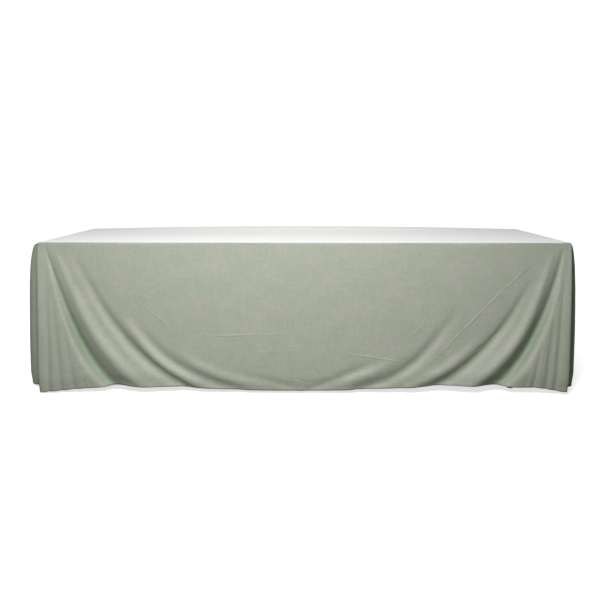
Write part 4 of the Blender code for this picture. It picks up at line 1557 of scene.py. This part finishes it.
@dataclass(frozen=True)
class Studio:
    """White floor, soft light and the camera.

    Attributes:
        camera_place: Where the camera stands.
        pitch_degrees: How far it looks down.
        yaw_degrees: How far it is turned to the left.
        lens: Its focal length, in millimetres.
        sensor: The width of its sensor, in millimetres.
        room: Strength of the fill light that comes from all round.
        glow: How brightly the floor shows near the table.
        glow_rise: Distances from the middle of the floor between which its glow rises to 1.
        floor_reach: How far the floor runs each way.
        key: Power of the front light, in watts.
        overhead: Power of the light over the table, in watts.
    """

    camera_place: tuple[float, float, float] = (0.0167, -3.179, 1.0222)
    pitch_degrees: float = 11.42
    yaw_degrees: float = 0.656
    lens: float = 36.75
    sensor: float = 36.0
    room: float = 0.15
    glow: float = 0.72
    glow_rise: tuple[float, float] = (1.6, 3.4)
    floor_reach: float = 14.0
    key: float = 107.0
    overhead: float = 52.0

    def build(self) -> None:
        """Sets up the whole studio."""
        self.build_floor()
        self.build_world()
        self.build_lights()
        self.build_camera()
        bpy.context.scene.view_settings.view_transform = "Standard"

    def build_floor(self) -> None:
        """Lays a large plain floor that the camera sees as white."""
        size = self.floor_reach
        verts = np.array([(-size, -size, 0), (size, -size, 0), (size, size, 0), (-size, size, 0)])
        floor = new_mesh_object("floor", verts.astype(float), [(0, 1, 2, 3)])
        material = bpy.data.materials.new("floor_white")
        material.use_nodes = True
        shader = material.node_tree.nodes["Principled BSDF"]
        shader.inputs["Emission Color"].default_value = (1.0, 1.0, 1.0, 1.0)
        nodes = NodeTree(material.node_tree)
        seen = nodes.add("ShaderNodeLightPath").outputs["Is Camera Ray"]
        away = nodes.add("ShaderNodeVectorMath", operation="LENGTH")
        nodes.join(nodes.add("ShaderNodeTexCoord").outputs["Object"], away.inputs[0])
        glow = nodes.remap(away.outputs["Value"], *self.glow_rise, self.glow, 1.0)
        nodes.join(nodes.maths("MULTIPLY", seen, glow), shader.inputs["Emission Strength"])
        pale = nodes.mix(seen, (0.20, 0.22, 0.19, 1.0), (0.80, 0.80, 0.80, 1.0))
        nodes.join(pale, shader.inputs["Base Color"])
        shader.inputs["Roughness"].default_value = 0.9
        shader.inputs["Specular IOR Level"].default_value = 0.0
        floor.data.materials.append(material)

    def build_world(self) -> None:
        """Fills the room with a faint, slightly green light. The camera sees it as white."""
        world = bpy.data.worlds.new("studio")
        bpy.context.scene.world = world
        world.use_nodes = True
        nodes = NodeTree(world.node_tree)
        background = world.node_tree.nodes["Background"]
        seen = nodes.add("ShaderNodeLightPath").outputs["Is Camera Ray"]
        tint = nodes.mix(seen, (0.80, 1.0, 0.74, 1.0), (1.0, 1.0, 1.0, 1.0))
        nodes.join(tint, background.inputs[0])
        nodes.join(nodes.remap(seen, 0.0, 1.0, self.room, 1.1), background.inputs[1])

    def build_lights(self) -> None:
        """Hangs a soft light in front, a little to the left, and one over the table."""
        for name, place, aim, size, power, colour in (
            ("key", (-0.31, -2.40, 2.00), (-0.05, -0.40, 0.38), 0.9, self.key, (1.0, 0.97, 0.985)),
            ("top", (0.0, 0.10, 4.0), (0.0, 0.05, 0.7), 1.8, self.overhead, (1.0, 1.0, 1.0)),
        ):
            light = bpy.data.lights.new(name, "AREA")
            light.shape = "DISK"
            light.size = size
            light.energy = power
            light.color = colour
            lamp = bpy.data.objects.new(name, light)
            lamp.location = place
            direction = Vector(aim) - Vector(place)
            lamp.rotation_euler = direction.to_track_quat("-Z", "Y").to_euler()
            bpy.context.scene.collection.objects.link(lamp)

    def build_camera(self) -> None:
        """Places the camera a little above the table, in front of it."""
        data = bpy.data.cameras.new("camera")
        data.lens = self.lens
        data.sensor_width = self.sensor
        data.clip_end = 100.0
        camera = bpy.data.objects.new("camera", data)
        camera.location = self.camera_place
        camera.rotation_euler = (
            math.radians(90 - self.pitch_degrees),
            0.0,
            math.radians(self.yaw_degrees),
        )
        bpy.context.scene.collection.objects.link(camera)
        bpy.context.scene.camera = camera


# ------------------------------------------------------------------ main


def main() -> None:
    """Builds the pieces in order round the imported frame."""
    logging.basicConfig(level=logging.INFO, format="%(name)s: %(message)s")
    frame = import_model()
    weave, grain, wear = weave_group(), grain_group(), wear_group()
    made = {finish.name: finish.build(grain, wear) for finish in HARD_FINISHES}
    slots = {item["node"]: item["material_slot"] for item in frame["record"]["subparts"]}
    for node, obj in frame["nodes"].items():
        if slots[node] in made:
            for slot in obj.material_slots:
                slot.material = made[slots[node]]
    fabric = ClothFinish().build(weave, crease_group())
    tablecloth, hem = Tablecloth(), Hem()
    cloth = tablecloth.build(fabric)
    band = hem.build_band(tablecloth, fabric)
    stitches = hem.build_stitches(tablecloth, ThreadFinish().build())
    for piece in (cloth, band, stitches):
        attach(piece, "covered_top")
        triangles = sum(len(face.vertices) - 2 for face in piece.data.polygons)
        LOG.info("%s: %d triangles", piece.name, triangles)
    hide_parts("tablecloth_top", "tablecloth_drop")
    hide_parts("hem_fold")
    Studio().build()


if __name__ == "__main__":
    main()
